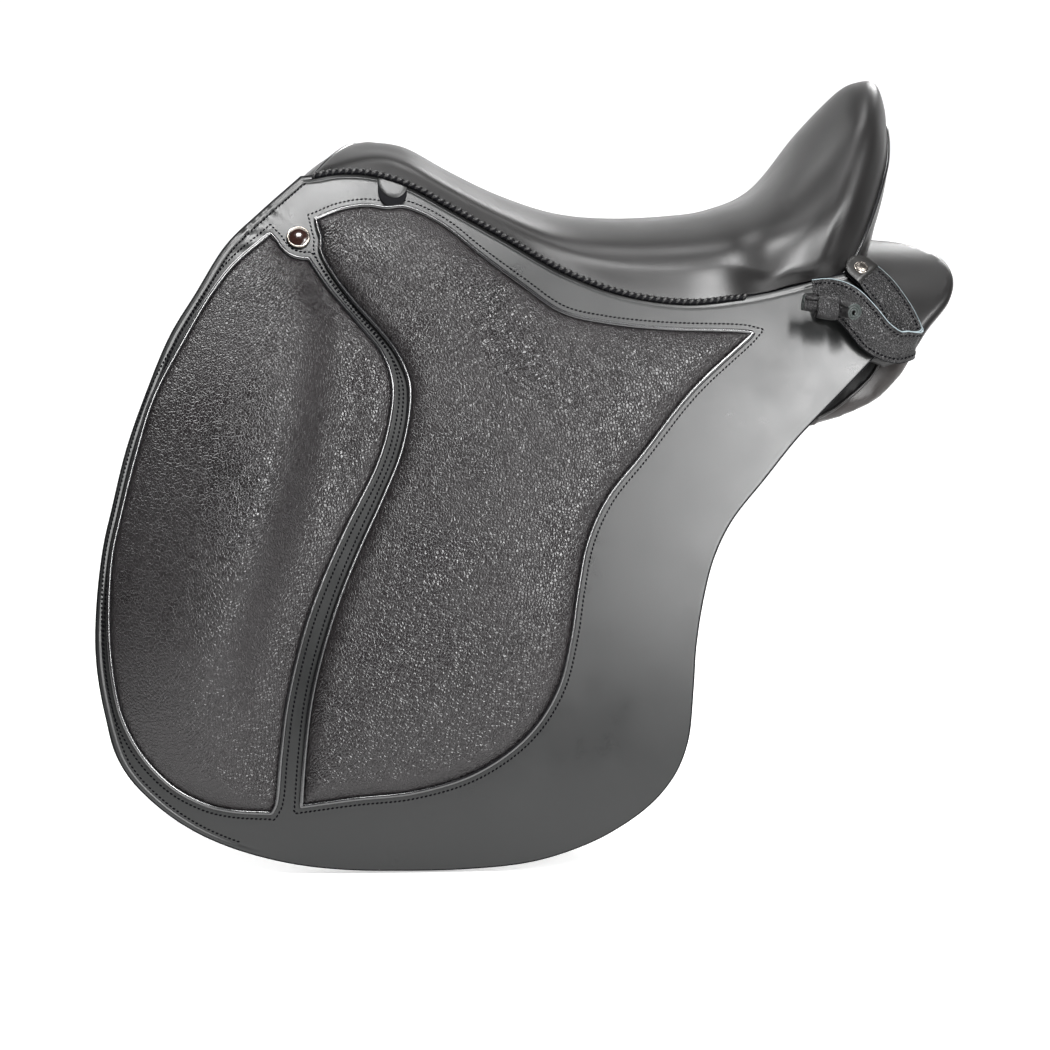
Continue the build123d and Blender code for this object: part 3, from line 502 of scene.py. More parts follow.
def leather(name, color, rough, grain, depth, pores=0.35, coat=0.0, level=0.5, tone=0.25, wall=0.30,
            long=1.0):
    """Leather with a pebbled grain: its scale, depth, crease width and how long the pebbles are."""
    material, tree, shader, spot = new_finish(name, color, rough, coat=coat, level=level)
    drift = noise(tree, spot, grain * 0.35, 2.0)
    bend = tree.nodes.new("ShaderNodeVectorMath")
    bend.operation = "MULTIPLY_ADD"
    bend.inputs[1].default_value = (0.9 / grain,) * 3
    wire(tree, drift.outputs["Color"], bend.inputs[0])
    squeezed = tree.nodes.new("ShaderNodeMapping")
    squeezed.inputs["Rotation"].default_value = (0.0, pebble_turn, 0.0)
    squeezed.inputs["Scale"].default_value = (1.0, 1.0, 1 / long)
    wire(tree, spot, squeezed.inputs["Vector"])
    wire(tree, squeezed.outputs["Vector"], bend.inputs[2])
    cells = tree.nodes.new("ShaderNodeTexVoronoi")
    cells.feature = "DISTANCE_TO_EDGE"
    cells.inputs["Scale"].default_value = grain
    wire(tree, bend.outputs["Vector"], cells.inputs["Vector"])
    pebble = reckon(tree, "POWER", spread(tree, cells.outputs["Distance"], 0.0, wall, 0.0, 1.0), 0.6)
    fine = noise(tree, spot, grain * 3.5, 3.0, 0.6).outputs["Fac"]
    height = reckon(tree, "ADD", pebble, reckon(tree, "MULTIPLY", fine, pores))
    raised(tree, shader, height, depth)
    patches = noise(tree, spot, patch_scale, 3.0, 0.55).outputs["Fac"]
    patch_shade = reckon(tree, "MULTIPLY", patches, 0.6)
    # Colour: darker in the creases between pebbles, a painted shade, and lighter on their tops, a painted
    # highlight; the patches add real tone.
    shade = reckon(tree, "ADD", reckon(tree, "MULTIPLY", pebble, 0.55), patch_shade)
    dark = tuple(c * (1 - tone) for c in color)
    light = tuple(c * (1 + tone) for c in color)
    tinted(tree, shader, shade, dark, light)
    dull = reckon(tree, "ADD", spread(tree, patches, 0.3, 0.7, rough - 0.05, rough + 0.06),
                  reckon(tree, "MULTIPLY", fine, 0.06))
    wire(tree, dull, shader.inputs["Roughness"])
    return material


print("grain is laid at an angle of", round(math.degrees(pebble_turn)), "degrees")

# %% The saddle's leathers
smooth_leather = leather("smooth leather", (0.010, 0.0095, 0.0095), 0.29, 900, 0.000018, 0.5)
flap_leather = leather("flap leather", (0.008, 0.0085, 0.0085), 0.28, 1000, 0.000012, 0.4)
# A tone of 0.9 makes the painted shade in the pads' grain creases strong.
grained_leather = leather("grained leather", (0.009, 0.0075, 0.008), 0.26, 500, 0.00032, 0.02,
                          tone=0.9, wall=0.27, long=1.35)
trim_leather = leather("polished trim leather", (0.005, 0.005, 0.006), 0.13, 900, 0.00001, 0.5,
                       coat=1.0, level=0.8)
rope_leather = leather("overcast cord", (0.012, 0.0115, 0.0115), 0.30, 900, 0.00002, 0.5)
strap_leather = leather("strap leather", (0.012, 0.0115, 0.011), 0.34, 800, 0.00003, 0.5)
lining_leather = leather("grained strap leather", (0.005, 0.0045, 0.005), 0.32, 600, 0.00040, 0.05,
                         tone=0.85, wall=0.28)
panel_leather = leather("panel leather", (0.014, 0.011, 0.010), 0.36, 700, 0.00003, 0.5)
gusset_leather = leather("gusset leather", (0.003, 0.003, 0.003), 0.5, 700, 0.00003, 0.5, level=0.2)
edge_paint = leather("edge paint", (0.002, 0.002, 0.003), 0.60, 1200, 0.00001, 0.6, level=0.1)
print("leathers:", sum("leather" in m.name for m in bpy.data.materials))

# %% [markdown]
# ## Thread, metal and the hidden materials
# Bonded thread, cut edges, moulding and enamel differ little in kind, so one helper makes
# them all from a noise, and stretched along X the same noise is the brushing of steel. The
# webs are woven, and two crossed waves show that better than any noise.

# %% Thread, metal, moulding and web


def with_noise(name, color, rough, scale, depth, metal=0.0, stretch=(1, 1, 1), level=0.5, tone=0.15):
    """A finish whose colour, roughness and height follow one noise."""
    material, tree, shader, spot = new_finish(name, color, rough, level=level, metal=metal)
    mapping = tree.nodes.new("ShaderNodeMapping")
    mapping.inputs["Scale"].default_value = stretch
    wire(tree, spot, mapping.inputs["Vector"])
    grain = noise(tree, mapping.outputs["Vector"], scale, 4.0, 0.6).outputs["Fac"]
    raised(tree, shader, grain, depth)
    dark = tuple(c * (1 - tone) for c in color)
    light = tuple(min(c * (1 + tone), 1) for c in color)
    tinted(tree, shader, grain, dark, light)
    wire(tree, spread(tree, grain, 0.3, 0.7, rough * 0.85, rough * 1.2), shader.inputs["Roughness"])
    return material


wave_span = 3.14


def woven(name, color, pitch):
    """A web of crossed threads at a pitch."""
    material, tree, shader, spot = new_finish(name, color, 0.85, sheen=0.2)
    heights = []
    for direction in ("X", "Z"):
        wave = tree.nodes.new("ShaderNodeTexWave")
        wave.bands_direction = direction
        wave.inputs["Scale"].default_value = 1 / pitch / wave_span
        wave.inputs["Distortion"].default_value = 0.6
        wave.inputs["Detail Scale"].default_value = 40
        wire(tree, spot, wave.inputs["Vector"])
        heights.append(wave.outputs["Fac"])
    weave = reckon(tree, "MULTIPLY", heights[0], heights[1])
    raised(tree, shader, weave, 0.0004)
    # Colour darker where the weave dips: painted shade in the hollows between the threads.
    tinted(tree, shader, weave, tuple(c * 0.6 for c in color), color)
    return material


thread = with_noise("black bonded thread", (0.002, 0.002, 0.003), 0.8, 2500, 0.00008, level=0.05)
steel = with_noise("brushed steel", (0.56, 0.57, 0.58), 0.32, 900, 0.00002, metal=1.0, stretch=(0.05, 1, 1))
stud_metal = with_noise("pewter", (0.34, 0.31, 0.28), 0.22, 400, 0.00001, metal=1.0)
stud_enamel = with_noise("brown enamel", (0.020, 0.008, 0.006), 0.12, 300, 0.000005, tone=0.3)
tree_plastic = with_noise("moulded tree", (0.05, 0.05, 0.055), 0.6, 500, 0.00012)
webbing = woven("woven web", (0.50, 0.47, 0.40), 0.0016)
roll_edge = with_noise("dark cut edge", (0.030, 0.038, 0.036), 0.5, 1500, 0.0001)
# A pale grey for the strap's upper cut edges, which is a painted highlight.
highlit_cut_edge = with_noise("pale cut edge", (0.22, 0.27, 0.29), 0.5, 1500, 0.0001)
print("finishes in all:", len(bpy.data.materials))

# %% [markdown]
# ## Pieces that keep their own mesh
# The tree, its head plate, the bars and the webs lie under leather, and their working meshes
# already have the right shape. A finer mesh would show nothing more, so they only get a
# finish.

# %% Finish the working model's own pieces
node_finish = {"saddle_tree": tree_plastic, "head_plate": steel, "seat_webs": webbing}
for side in SIDES:
    for part in ("stirrup_bar", "bar_rivets", "bar_catch"):
        node_finish[f"{side}_{part}"] = steel
    for part in ("front_hanger", "rear_hanger"):
        node_finish[f"{side}_{part}"] = webbing
for name, finish in node_finish.items():
    mesh = nodes[name].data
    mesh.materials.clear()
    mesh.materials.append(finish)
print("finished in place:", len(node_finish))

# %% [markdown]
# ## The flap
# One skin of firm leather runs from the seat's seam over the fold to the lower edge. It is
# cut from its drawing, gets a rounded edge, and a crease runs inside its front edge, where
# the saddler's hot iron pressed a line beside the stitches. Small pull creases spread round
# the stud, where the leather is drawn over the head of the saddle.

# %% Draw the flap
flap_front = [
    (-195, 125), (-227, 97), (-253, 72), (-277, 34), (-296, 3), (-314, -40), (-329, -83), (-339, -124),
    (-346, -155), (-351, -198), (-351.5, -236), (-346, -274), (-335, -313), (-325, -329), (-312, -343),
    (-294, -358), (-271, -372), (-242, -384), (-204, -394), (-165, -399), (-126, -400.3), (-78, -400),
    (-29, -396), (3, -388), (36, -374), (68, -352), (87, -329), (97, -304), (101.5, -265), (104, -233),
    (110, -198), (119, -166), (133, -139), (160, -107), (185, -78), (197, -66), (239, -26), (252, -13),
]
flap_rear = [(252, -13), (252, 8), (249, 32), (243, 52)]
seam_marks = [
    (243, 52), (217, 47), (208, 45), (180, 38), (150, 32), (105, 28), (55, 35), (10, 52), (-35, 77.6),
    (-75, 100), (-110, 119), (-140, 128), (-165, 129), (-184, 126), (-195, 125),
]
edge_step = 0.0026
flap_loop = loop_of([mm * np.array(run) for run in (flap_front, flap_rear, seam_marks)], edge_step)
stud_at = mm * np.array([-197.0, 77.0])
pull_crease_height, pressed_depth = 0.00045, 0.0007
print("points round the flap:", len(flap_loop))

# %% Press its crease and cut the leather


def soft_step(value, low, high):
    """0 below the low value, 1 above the high one, and a soft S between them."""
    t = np.clip((value - low) / (high - low), 0, 1)
    return t * t * (3 - 2 * t)


def crease_share(points):
    """1 along the flap's front edge and 0 along the rest."""
    return 1 - soft_step(points[:, 0], -0.262, -0.225) * soft_step(-points[:, 1], -0.05, 0.0)


def flap_relief(points):
    """Pull creases between the stud and the front edge."""
    x, z = (points - stud_at).T
    far = np.hypot(x, z)
    turn = np.arctan2(z, x)
    fan = np.sin(turn * 26 + np.sin(turn * 7) * 1.5)
    near = soft_step(far, 0.016, 0.026) * (1 - soft_step(far, 0.040, 0.062))
    ahead = soft_step(-x - z * 0.4, -0.004, 0.016)
    return pull_crease_height * fan * near * ahead


def crease_drop(points):
    """Depth of the pressed line, which fades out away from the front edge."""
    return -pressed_depth * crease_share(points)


crease = [(0.0078, 0.0), (0.0058, 0.0), (0.0049, crease_drop), (0.0041, 0.0), (0.0026, 0.0)]
flap_wall, flap_grid, flap_rim = 0.005, 0.0036, 0.0012
flap_mesh = leather_sheet(flap_loop, flap_wall, flap_grid, rim=flap_rim, lift=flap_relief, rings=crease)
pair("flap_leather", flap_mesh, flap_leather, "flap_body", "flap_leather",
     ("flap", "front_skirt", "rear_skirt"), fold=True, edge_finish=edge_paint)

# %% [markdown]
# ## Knee and thigh pads
# Both pads are foam under soft grained leather, drawn down tight at the piping. Sculpting or
# cloth could shape them, but leather over moulded foam has no loose folds, so their height
# is a rule: it climbs steeply from the piping, follows a low crown, and on the knee pad a
# long block stands up, with its crest near the front third and a valley behind it.

# %% Draw the pads
knee_runs = [
    [(-219, 79), (-246, 56), (-264, 33), (-286, -4), (-307, -44), (-321, -89), (-332, -133), (-338, -161),
     (-340.5, -208), (-338, -246), (-331, -280), (-316, -309), (-293, -333), (-269, -346), (-249, -351),
     (-221, -353)],
    [(-221, -353), (-218, -347), (-214, -310), (-209, -272), (-196, -219), (-182, -181), (-163, -140),
     (-139, -93), (-129.5, -62), (-127, -35), (-134, -12), (-153, 12), (-175, 38), (-190, 60)],
    [(-190, 60), (-197, 60.5), (-205, 63.5), (-211, 69), (-215, 75), (-219, 79)],
]
thigh_runs = [
    [(-182, 91), (-180.5, 84), (-178.5, 77), (-179, 69), (-177, 63), (-169, 49), (-152, 27), (-134, 7),
     (-121, -10), (-112, -32), (-112, -54), (-119, -86), (-132, -117), (-152, -159), (-167, -195),
     (-181, -238), (-189, -273), (-194, -315), (-196.5, -348)],
    [(-196.5, -348), (-156, -343), (-114, -339), (-71, -327), (-39, -308), (-18, -287), (-2.5, -260),
     (7, -224), (12.5, -190), (20.5, -153), (36.5, -120), (63.5, -88), (104, -40), (153, 3)],
    [(153, 3), (144, 4), (84.5, 6), (39, 11), (6, 19), (-26, 41), (-57, 64), (-83, 85), (-104, 96.5),
     (-116, 100), (-128, 99), (-144, 101), (-164, 98), (-182, 91)],
]
knee_loop = loop_of([mm * np.array(run) for run in knee_runs], edge_step)
thigh_loop = loop_of([mm * np.array(run) for run in thigh_runs], edge_step)
print("points round the pads:", len(knee_loop), len(thigh_loop))

# %% Crest, valley and height of the knee block
crest_marks = mm * np.array([
    (-215, 75), (-203, 50), (-198, 22), (-203, -12), (-213, -61), (-225, -105), (-239, -150), (-252, -194),
    (-262, -239), (-269, -276), (-268, -315), (-262, -345),
])
valley_marks = mm * np.array([
    (-196, 62), (-176, 40), (-164, 18), (-160, -8), (-162, -46), (-172, -98), (-186, -150), (-200, -195),
    (-211, -232), (-219, -269), (-225, -310), (-230, -345),
])
block_marks = mm * np.array([
    (80, 1.0), (62, 5), (40, 13), (10, 24), (-30, 31), (-80, 34), (-130, 34), (-180, 31), (-230, 26),
    (-275, 17), (-315, 9), (-352, 3),
])
front_marks = mm * np.array(knee_runs[0])
print("highest point of the knee block, mm:", block_marks[:, 1].max() / mm)

# %% Heights of the pads


def at_height(marks, z):
    """First value of marks (value, z), read at heights z."""
    order = np.argsort(marks[:, 1])
    return np.interp(z, marks[order, 1], marks[order, 0])


def pillow(far, width, height, power=2.2):
    """Height that climbs from a seam: steep at first, then level."""
    t = np.clip(far / width, 0, 1)
    return height * (1 - (1 - t) ** power)


def block_height(points):
    """Height of the knee block: from the front edge up to its crest, then down to its valley."""
    x, z = points.T
    crest, valley = at_height(crest_marks, z), at_height(valley_marks, z)
    tall = at_height(block_marks[:, ::-1], z)
    front = at_height(front_marks, z)
    ahead = np.clip((x - front) / np.maximum(crest - front, 0.002), 0, 1)
    behind = np.clip((valley - x) / np.maximum(valley - crest, 0.002), 0, 1)
    rise = np.where(x < crest, np.sin(ahead * math.pi / 2) ** 1.25, soft_step(behind, 0.0, 1.0))
    return tall * rise


middle_share, soft_rings, soft_turns = 0.2, ((0.006, 0.3), (0.012, 0.5)), 8
block_inset, knee_roll, knee_roll_height = 0.024, 0.021, 0.0048
thigh_roll, thigh_roll_height, thigh_crown, thigh_crown_height = 0.016, 0.0052, 0.060, 0.0040


def knee_height(points):
    """The block's height, averaged over a small round patch so that it is soft, and the edge."""
    far = distance_to(points, knee_loop)[0]
    soft = block_height(points) * middle_share
    for reach, share in soft_rings:
        for turn in np.linspace(0, 2 * math.pi, soft_turns, endpoint=False):
            moved = points + reach * np.array([math.cos(turn), math.sin(turn)])
            soft += block_height(moved) * share / soft_turns
    edge = 1 - (1 - np.clip(far / block_inset, 0, 1)) ** 2
    return pillow(far, knee_roll, knee_roll_height, 2.8) + soft * edge


def thigh_height(points):
    """A steep rise from the piping with a long low crown behind it."""
    far = distance_to(points, thigh_loop)[0]
    return pillow(far, thigh_roll, thigh_roll_height) + pillow(far, thigh_crown, thigh_crown_height, 1.6)


test_spot = mm * np.array([[-262.0, -239.0]])
print("knee pad's height at a mark on its crest, mm:", round(float(knee_height(test_spot)[0]) / mm, 1))

# %% Make the pads
pad_seat, pad_lip, pad_lean, back_grid_step = 0.0005, 0.0012, 0.0004, 0.012


def pad_mesh(loop, height, grid, seat=pad_seat):
    """Closed pad: a crowned face that meets a hidden back on the flap."""
    inner = moved_in(loop, pad_lean)
    points, tris = filled([inner], grid)
    n = len(inner)
    top = laid(points, seat + pad_lip + height(points))
    foot = laid(loop, np.full(len(loop), seat))
    back_points, back_tris = filled([loop], back_grid_step)
    loose = back_points[n:]
    verts = np.vstack([top, foot, laid(loose, np.full(len(loose), seat))])
    base = len(top)
    faces = [tuple(t) for t in tris] + rim_strip(n, 0, base)
    index = {i: base + i for i in range(n)}
    index.update({n + i: base + n + i for i in range(len(loose))})
    faces += [tuple(index[v] for v in reversed(t)) for t in back_tris]
    return verts, faces


pair("knee_pad_leather", pad_mesh(knee_loop, knee_height, 0.0030), grained_leather, "flap_body",
     "grained_leather", ("knee_pad",))
pair("thigh_pad_leather", pad_mesh(thigh_loop, thigh_height, 0.0034), grained_leather, "flap_body",
     "grained_leather", ("thigh_pad",))

# %% [markdown]
# ## Piping
# A thin cord covered in polished leather closes the edge of each pad. A bevel on the pad's
# rim would give a similar roll, but piping has its own gloss and its own highlight. It sits
# in the angle between pad and flap, so it is a tube a little outside the pad's outline.

# %% Piping round the pads
piping_radius, piping_out, piping_gap, piping_step = 0.0018, 0.0019, 0.0012, 0.0020
for name, loop in (("knee", knee_loop), ("thigh", thigh_loop)):
    line = even_steps(moved_in(loop, -piping_gap), piping_step, True)
    path = laid(line, np.full(len(line), piping_out))
    mesh = tube(path, face_normal(line[:, 1]), piping_radius, 12)
    pair(f"{name}_piping_cord", mesh, trim_leather, "flap_body", "trim_leather", (f"{name}_piping",))

# %% [markdown]
# ## Stitches
# A stitch repeats every three millimetres or so, for metres. That is work for Geometry
# Nodes: the tree below takes a path, steps along it by the stitch's pitch, sets one small
# bead of thread at each step with its length along the path and its flat side on the
# leather, and turns each a little, as a saddler's slanting stitch does.

# %% Stitch tree


def add_socket(tree, name, kind, value=None):
    """Adds a named input to a tree and gives the socket's identifier."""
    socket = tree.interface.new_socket(name, in_out="INPUT", socket_type=kind)
    if value is not None:
        socket.default_value = value
    return socket.identifier


def stitch_tree():
    """Node tree that sews a row of beads along a path of edges."""
    tree = bpy.data.node_groups.new("Sewn row", "GeometryNodeTree")
    tree.interface.new_socket("Geometry", in_out="OUTPUT", socket_type="NodeSocketGeometry")
    keys = {"Geometry": add_socket(tree, "Geometry", "NodeSocketGeometry")}
    usual = {
        "Pitch": 0.0033, "Length": 0.0025, "Width": 0.0008, "Height": 0.0006, "Slant": 0.25, "Uneven": 0.06,
    }
    for name, value in usual.items():
        keys[name] = add_socket(tree, name, "NodeSocketFloat", value)
    keys["Seed"] = add_socket(tree, "Seed", "NodeSocketInt", 7)
    keys["Thread"] = add_socket(tree, "Thread", "NodeSocketMaterial")
    make, join = tree.nodes.new, tree.links.new
    start, stop = make("NodeGroupInput"), make("NodeGroupOutput")
    curve, steps = make("GeometryNodeMeshToCurve"), make("GeometryNodeResampleCurve")
    steps.mode = "LENGTH"
    join(start.outputs["Geometry"], curve.inputs["Mesh"])
    join(curve.outputs["Curve"], steps.inputs["Curve"])
    join(start.outputs["Pitch"], steps.inputs["Length"])
    bead = make("GeometryNodeMeshUVSphere")
    bead.inputs["Segments"].default_value = 8
    bead.inputs["Rings"].default_value = 4
    bead.inputs["Radius"].default_value = 0.5
    size = make("ShaderNodeCombineXYZ")
    for axis, name in zip("XYZ", ("Length", "Width", "Height")):
        join(start.outputs[name], size.inputs[axis])
    shaped = make("GeometryNodeTransform")
    join(bead.outputs["Mesh"], shaped.inputs["Geometry"])
    join(size.outputs["Vector"], shaped.inputs["Scale"])
    tangent, up = make("GeometryNodeInputTangent"), make("GeometryNodeInputNamedAttribute")
    up.data_type = "FLOAT_VECTOR"
    up.inputs["Name"].default_value = "up"
    axes = make("FunctionNodeAxesToRotation")
    axes.primary_axis, axes.secondary_axis = "Z", "X"
    join(up.outputs["Attribute"], axes.inputs["Primary Axis"])
    join(tangent.outputs["Tangent"], axes.inputs["Secondary Axis"])
    jitter = make("FunctionNodeRandomValue")
    jitter.data_type = "FLOAT"
    low = make("ShaderNodeMath")
    low.operation = "SUBTRACT"
    high = make("ShaderNodeMath")
    high.operation = "ADD"
    for node in (low, high):
        join(start.outputs["Slant"], node.inputs[0])
        join(start.outputs["Uneven"], node.inputs[1])
    join(low.outputs["Value"], jitter.inputs[2])
    join(high.outputs["Value"], jitter.inputs[3])
    join(start.outputs["Seed"], jitter.inputs["Seed"])
    slant = make("FunctionNodeAxisAngleToRotation")
    slant.inputs["Axis"].default_value = (0, 0, 1)
    join(jitter.outputs[1], slant.inputs["Angle"])
    turned = make("FunctionNodeRotateRotation")
    turned.rotation_space = "LOCAL"
    join(axes.outputs["Rotation"], turned.inputs["Rotation"])
    join(slant.outputs["Rotation"], turned.inputs["Rotate By"])
    sown = make("GeometryNodeInstanceOnPoints")
    join(steps.outputs["Curve"], sown.inputs["Points"])
    join(shaped.outputs["Geometry"], sown.inputs["Instance"])
    join(turned.outputs["Rotation"], sown.inputs["Rotation"])
    real, smooth = make("GeometryNodeRealizeInstances"), make("GeometryNodeSetShadeSmooth")
    dyed = make("GeometryNodeSetMaterial")
    join(sown.outputs["Instances"], real.inputs["Geometry"])
    join(real.outputs["Geometry"], smooth.inputs["Geometry"])
    join(smooth.outputs["Geometry"], dyed.inputs["Geometry"])
    join(start.outputs["Thread"], dyed.inputs["Material"])
    join(dyed.outputs["Geometry"], stop.inputs["Geometry"])
    return tree, keys


sewn_row, sewn_keys = stitch_tree()
print("stitch tree inputs:", ", ".join(sewn_keys))

# %% Run the tree along paths


def sewn_mesh(paths, sizes, material):
    """Vertices and faces of beads along paths, each path a (points, up, closed)."""
    verts, edges, ups = [], [], []
    for path, up, closed in paths:
        start, n = len(verts), len(path)
        verts += [tuple(map(float, p)) for p in path]
        ups += [tuple(map(float, u)) for u in up]
        edges += [(start + i, start + i + 1) for i in range(n - 1)]
        if closed:
            edges.append((start + n - 1, start))
    mesh = bpy.data.meshes.new("sewing path")
    mesh.from_pydata(verts, edges, [])
    layer = mesh.attributes.new("up", "FLOAT_VECTOR", "POINT")
    layer.data.foreach_set("vector", np.array(ups, float).ravel())
    guide = bpy.data.objects.new("sewing path", mesh)
    bpy.context.scene.collection.objects.link(guide)
    sewing = guide.modifiers.new("Sewn row", "NODES")
    sewing.node_group = sewn_row
    for key, value in {**sizes, "Thread": material}.items():
        sewing[sewn_keys[key]] = value
    bpy.context.view_layer.update()
    ready = guide.evaluated_get(bpy.context.evaluated_depsgraph_get())
    done = bpy.data.meshes.new_from_object(ready)
    out_verts = np.array([v.co for v in done.vertices])
    out_faces = [tuple(p.vertices) for p in done.polygons]
    guide.modifiers.clear()
    bpy.data.objects.remove(guide)
    return out_verts, out_faces


def on_face(line, out=0.0002, closed=True):
    """A path on the flap's face, for a row of stitches."""
    return laid(line, np.full(len(line), out)), face_normal(line[:, 1]), closed


row_sizes = {"Pitch": 0.0034, "Length": 0.0025, "Width": 0.0014, "Height": 0.0009, "Slant": 0.22}
test_row = sewn_mesh([(test_path, test_up, False)], row_sizes, thread)
print("faces in a 40 mm row of stitches:", len(test_row[1]))

# %% [markdown]
# The flap has three rows: one round each pad, beside its piping, and one inside the pressed
# crease of the front edge. Each row is the outline moved by the distance that the machine's
# foot keeps, so no row has to be drawn.

# %% Sew the flap
pad_row_gap, edge_row_inset, sewing_step, row_start_jump = 0.0062, 0.0066, 0.002, 0.02
thread_rows = []
for loop in (knee_loop, thigh_loop):
    thread_rows.append(on_face(even_steps(moved_in(loop, -pad_row_gap), sewing_step, True)))
edge_line = moved_in(flap_loop, edge_row_inset)
front_row = edge_line[(crease_share(edge_line) > 0.5) & (edge_line[:, 0] < -0.19)]
gaps = np.linalg.norm(np.diff(front_row, axis=0), axis=1)
if gaps.max() > row_start_jump:
    front_row = np.roll(front_row, -(int(np.argmax(gaps)) + 1), axis=0)
thread_rows.append(on_face(even_steps(front_row, sewing_step, False), closed=False))
flap_sewing = sewn_mesh(thread_rows, row_sizes, thread)
pair("flap_stitches", flap_sewing, thread, "flap_body", "trim_leather", fold=True)

# %% [markdown]
# ## The stud
# A turned metal stud holds the head of the pads. It is a plain one: a domed enamel face
# inside a raised metal ring. A Screw modifier spins a profile too, but only round an axis of
# the object, so here each profile is spun in code round the leather's own direction.

# %% Turn the studs


def turned_on(center, out, profile, steps=48):
    """Mesh of a profile of (radius, height), spun about out through center."""
    out = np.array(out, float) / np.linalg.norm(out)
    side = np.cross(out, (0.0, 0.0, 1.0))
    side /= np.linalg.norm(side)
    other = np.cross(out, side)
    verts, faces = [], []
    for radius, height in profile:
        for k in range(steps):
            a = 2 * math.pi * k / steps
            verts.append(center + out * height + (side * math.cos(a) + other * math.sin(a)) * radius)
    for r in range(len(profile) - 1):
        for k in range(steps):
            m = (k + 1) % steps
            faces.append((r * steps + k, r * steps + m, (r + 1) * steps + m, (r + 1) * steps + k))
    faces.append(tuple(range(steps - 1, -1, -1)))
    last = (len(profile) - 1) * steps
    faces.append(tuple(last + k for k in range(steps)))
    return np.array(verts), faces


def faces_out(verts, faces):
    """The faces, turned round if the closed mesh is inside out."""
    volume = 0.0
    for f in faces:
        a = verts[f[0]]
        for p, q in zip(f[1:], f[2:]):
            volume += np.dot(a, np.cross(verts[p], verts[q]))
    return faces if volume > 0 else [tuple(reversed(f)) for f in faces]


stud_profile = mm * np.array([
    (9.2, 0.5), (9.3, 1.6), (9.0, 2.4), (8.4, 2.8), (7.8, 2.7), (7.3, 2.2), (7.0, 1.5), (0.5, 1.4),
])
enamel_profile = mm * np.array([(7.1, 1.2), (7.0, 1.7), (6.2, 1.9), (4.6, 2.25), (2.6, 2.5), (0.6, 2.6)])
stud_center = laid(stud_at[None, :], np.zeros(1))[0]
stud_parts = (
    ("badge_stud", stud_profile, stud_metal, ("badge",)),
    ("badge_face", enamel_profile, stud_enamel, ()),
)
for name, profile, finish, under in stud_parts:
    verts, faces = turned_on(stud_center, face_normal(stud_at[1:2])[0], profile)
    pair(name, (verts, faces_out(verts, faces)), finish, "flap_body", "badge_metal", under)

# %% [markdown]
# ## The seat
# The seat is one skin over foam, stretched from the pommel to the cantle. Cloth pulled over
# a form would find such a shape by itself, but it wrinkles where good leather doesn't. So
# marks on half a section are given at each station, from the seam to the middle, a spline
# runs through them both ways, and the half is mirrored. At the cantle the stations lean
# back, so the skin rolls over the rim and meets the back at a welt.

# %% Marks of the seat


seam_inset = 4.0


def station(x, seam, top, spread_share, rise):
    """Half section at x: seam, side, shoulder, crown and middle."""
    half = float(face(np.array([seam * mm]))[0] / mm) - seam_inset
    wide = half * spread_share
    shoulder = seam + (top - seam) * rise
    return [
        (x, half, seam),
        (x, (half + wide) / 2 + (shoulder - seam) * 0.16, (seam + shoulder) / 2 + (half - wide) * 0.10),
        (x, wide, shoulder),
        (x, wide * 0.55, shoulder + (top - shoulder) * 0.80),
        (x, 0, top),
    ]


seat_rows = [
    [(-187, 87, 122.5), (-180, 72, 131.5), (-170, 52, 141), (-159, 27, 148.5), (-151, 0, 151.5)],
    [(-181, 88, 125), (-173, 73, 134.5), (-163, 53, 143.5), (-152, 28, 150.2), (-145.5, 0, 152.4)],
    station(-136, 127, 152.6, 0.60, 0.75),
    station(-110, 119, 148, 0.62, 0.75),
    station(-75, 100, 129, 0.66, 0.72),
    station(-35, 77.6, 110, 0.70, 0.70),
    station(10, 52, 95.5, 0.73, 0.70),
    station(55, 35, 91, 0.75, 0.72),
    station(105, 28, 93, 0.77, 0.72),
    station(140, 31, 98.5, 0.79, 0.70),
    [(167, 135, 35), (168, 136, 52), (170, 116, 84), (174, 62, 108), (176, 0, 115)],
    [(186, 133, 40), (190, 136, 58), (199, 118, 92), (206, 64, 135), (209, 0, 158)],
    [(200, 132, 43), (207, 133, 61), (221, 113, 101), (236, 64, 158), (243, 0, 193)],
    [(208, 131, 45), (217, 128, 66), (235, 106, 110), (254, 61, 170), (261, 0, 202)],
    [(215, 129, 46), (225, 124, 67), (245, 101, 111), (266, 58, 169), (274, 0, 201)],
    [(221, 127, 46), (232, 119, 63), (252, 96, 103), (273, 55, 155), (280.5, 0, 186)],
    [(226, 124, 45), (238, 113, 58), (257, 90, 92), (276, 52, 138), (281.5, 0, 170)],
]
rows = mm * np.array(seat_rows)
print("stations of the seat:", len(rows))

# %% Stretch the skin


def even_between(marks, per_gap):
    """Spline through marks with a fixed count of points for each gap."""
    ends = np.vstack([2 * marks[0] - marks[1], marks, 2 * marks[-1] - marks[-2]])
    out = []
    for a, b, c, d in zip(ends, ends[1:], ends[2:], ends[3:]):
        for t in np.arange(per_gap) / per_gap:
            slope, bend, twist = c - a, 2 * a - 5 * b + 4 * c - d, 3 * b - a - 3 * c + d
            out.append(0.5 * (2 * b + slope * t + bend * t**2 + twist * t**3))
    out.append(marks[-1])
    return np.array(out)


def skin_grid(rows, along_steps, across_steps):
    """Even grid of points through half sections, mirrored to both sides."""
    tracks = []
    for k in range(rows.shape[1]):
        tracks.append(even_between(rows[:, k], along_steps))
    tracks = np.stack(tracks, axis=1)
    full = []
    for track in tracks:
        other = track[:-1][::-1] * (1, -1, 1)
        marks = np.vstack([track, other])
        full.append(even_between(marks, across_steps))
    return np.stack(full)


def grid_faces(rows_count, columns):
    """Faces of a grid of points."""
    return [
        (r * columns + c, r * columns + c + 1, (r + 1) * columns + c + 1, (r + 1) * columns + c)
        for r in range(rows_count - 1)
        for c in range(columns - 1)
    ]


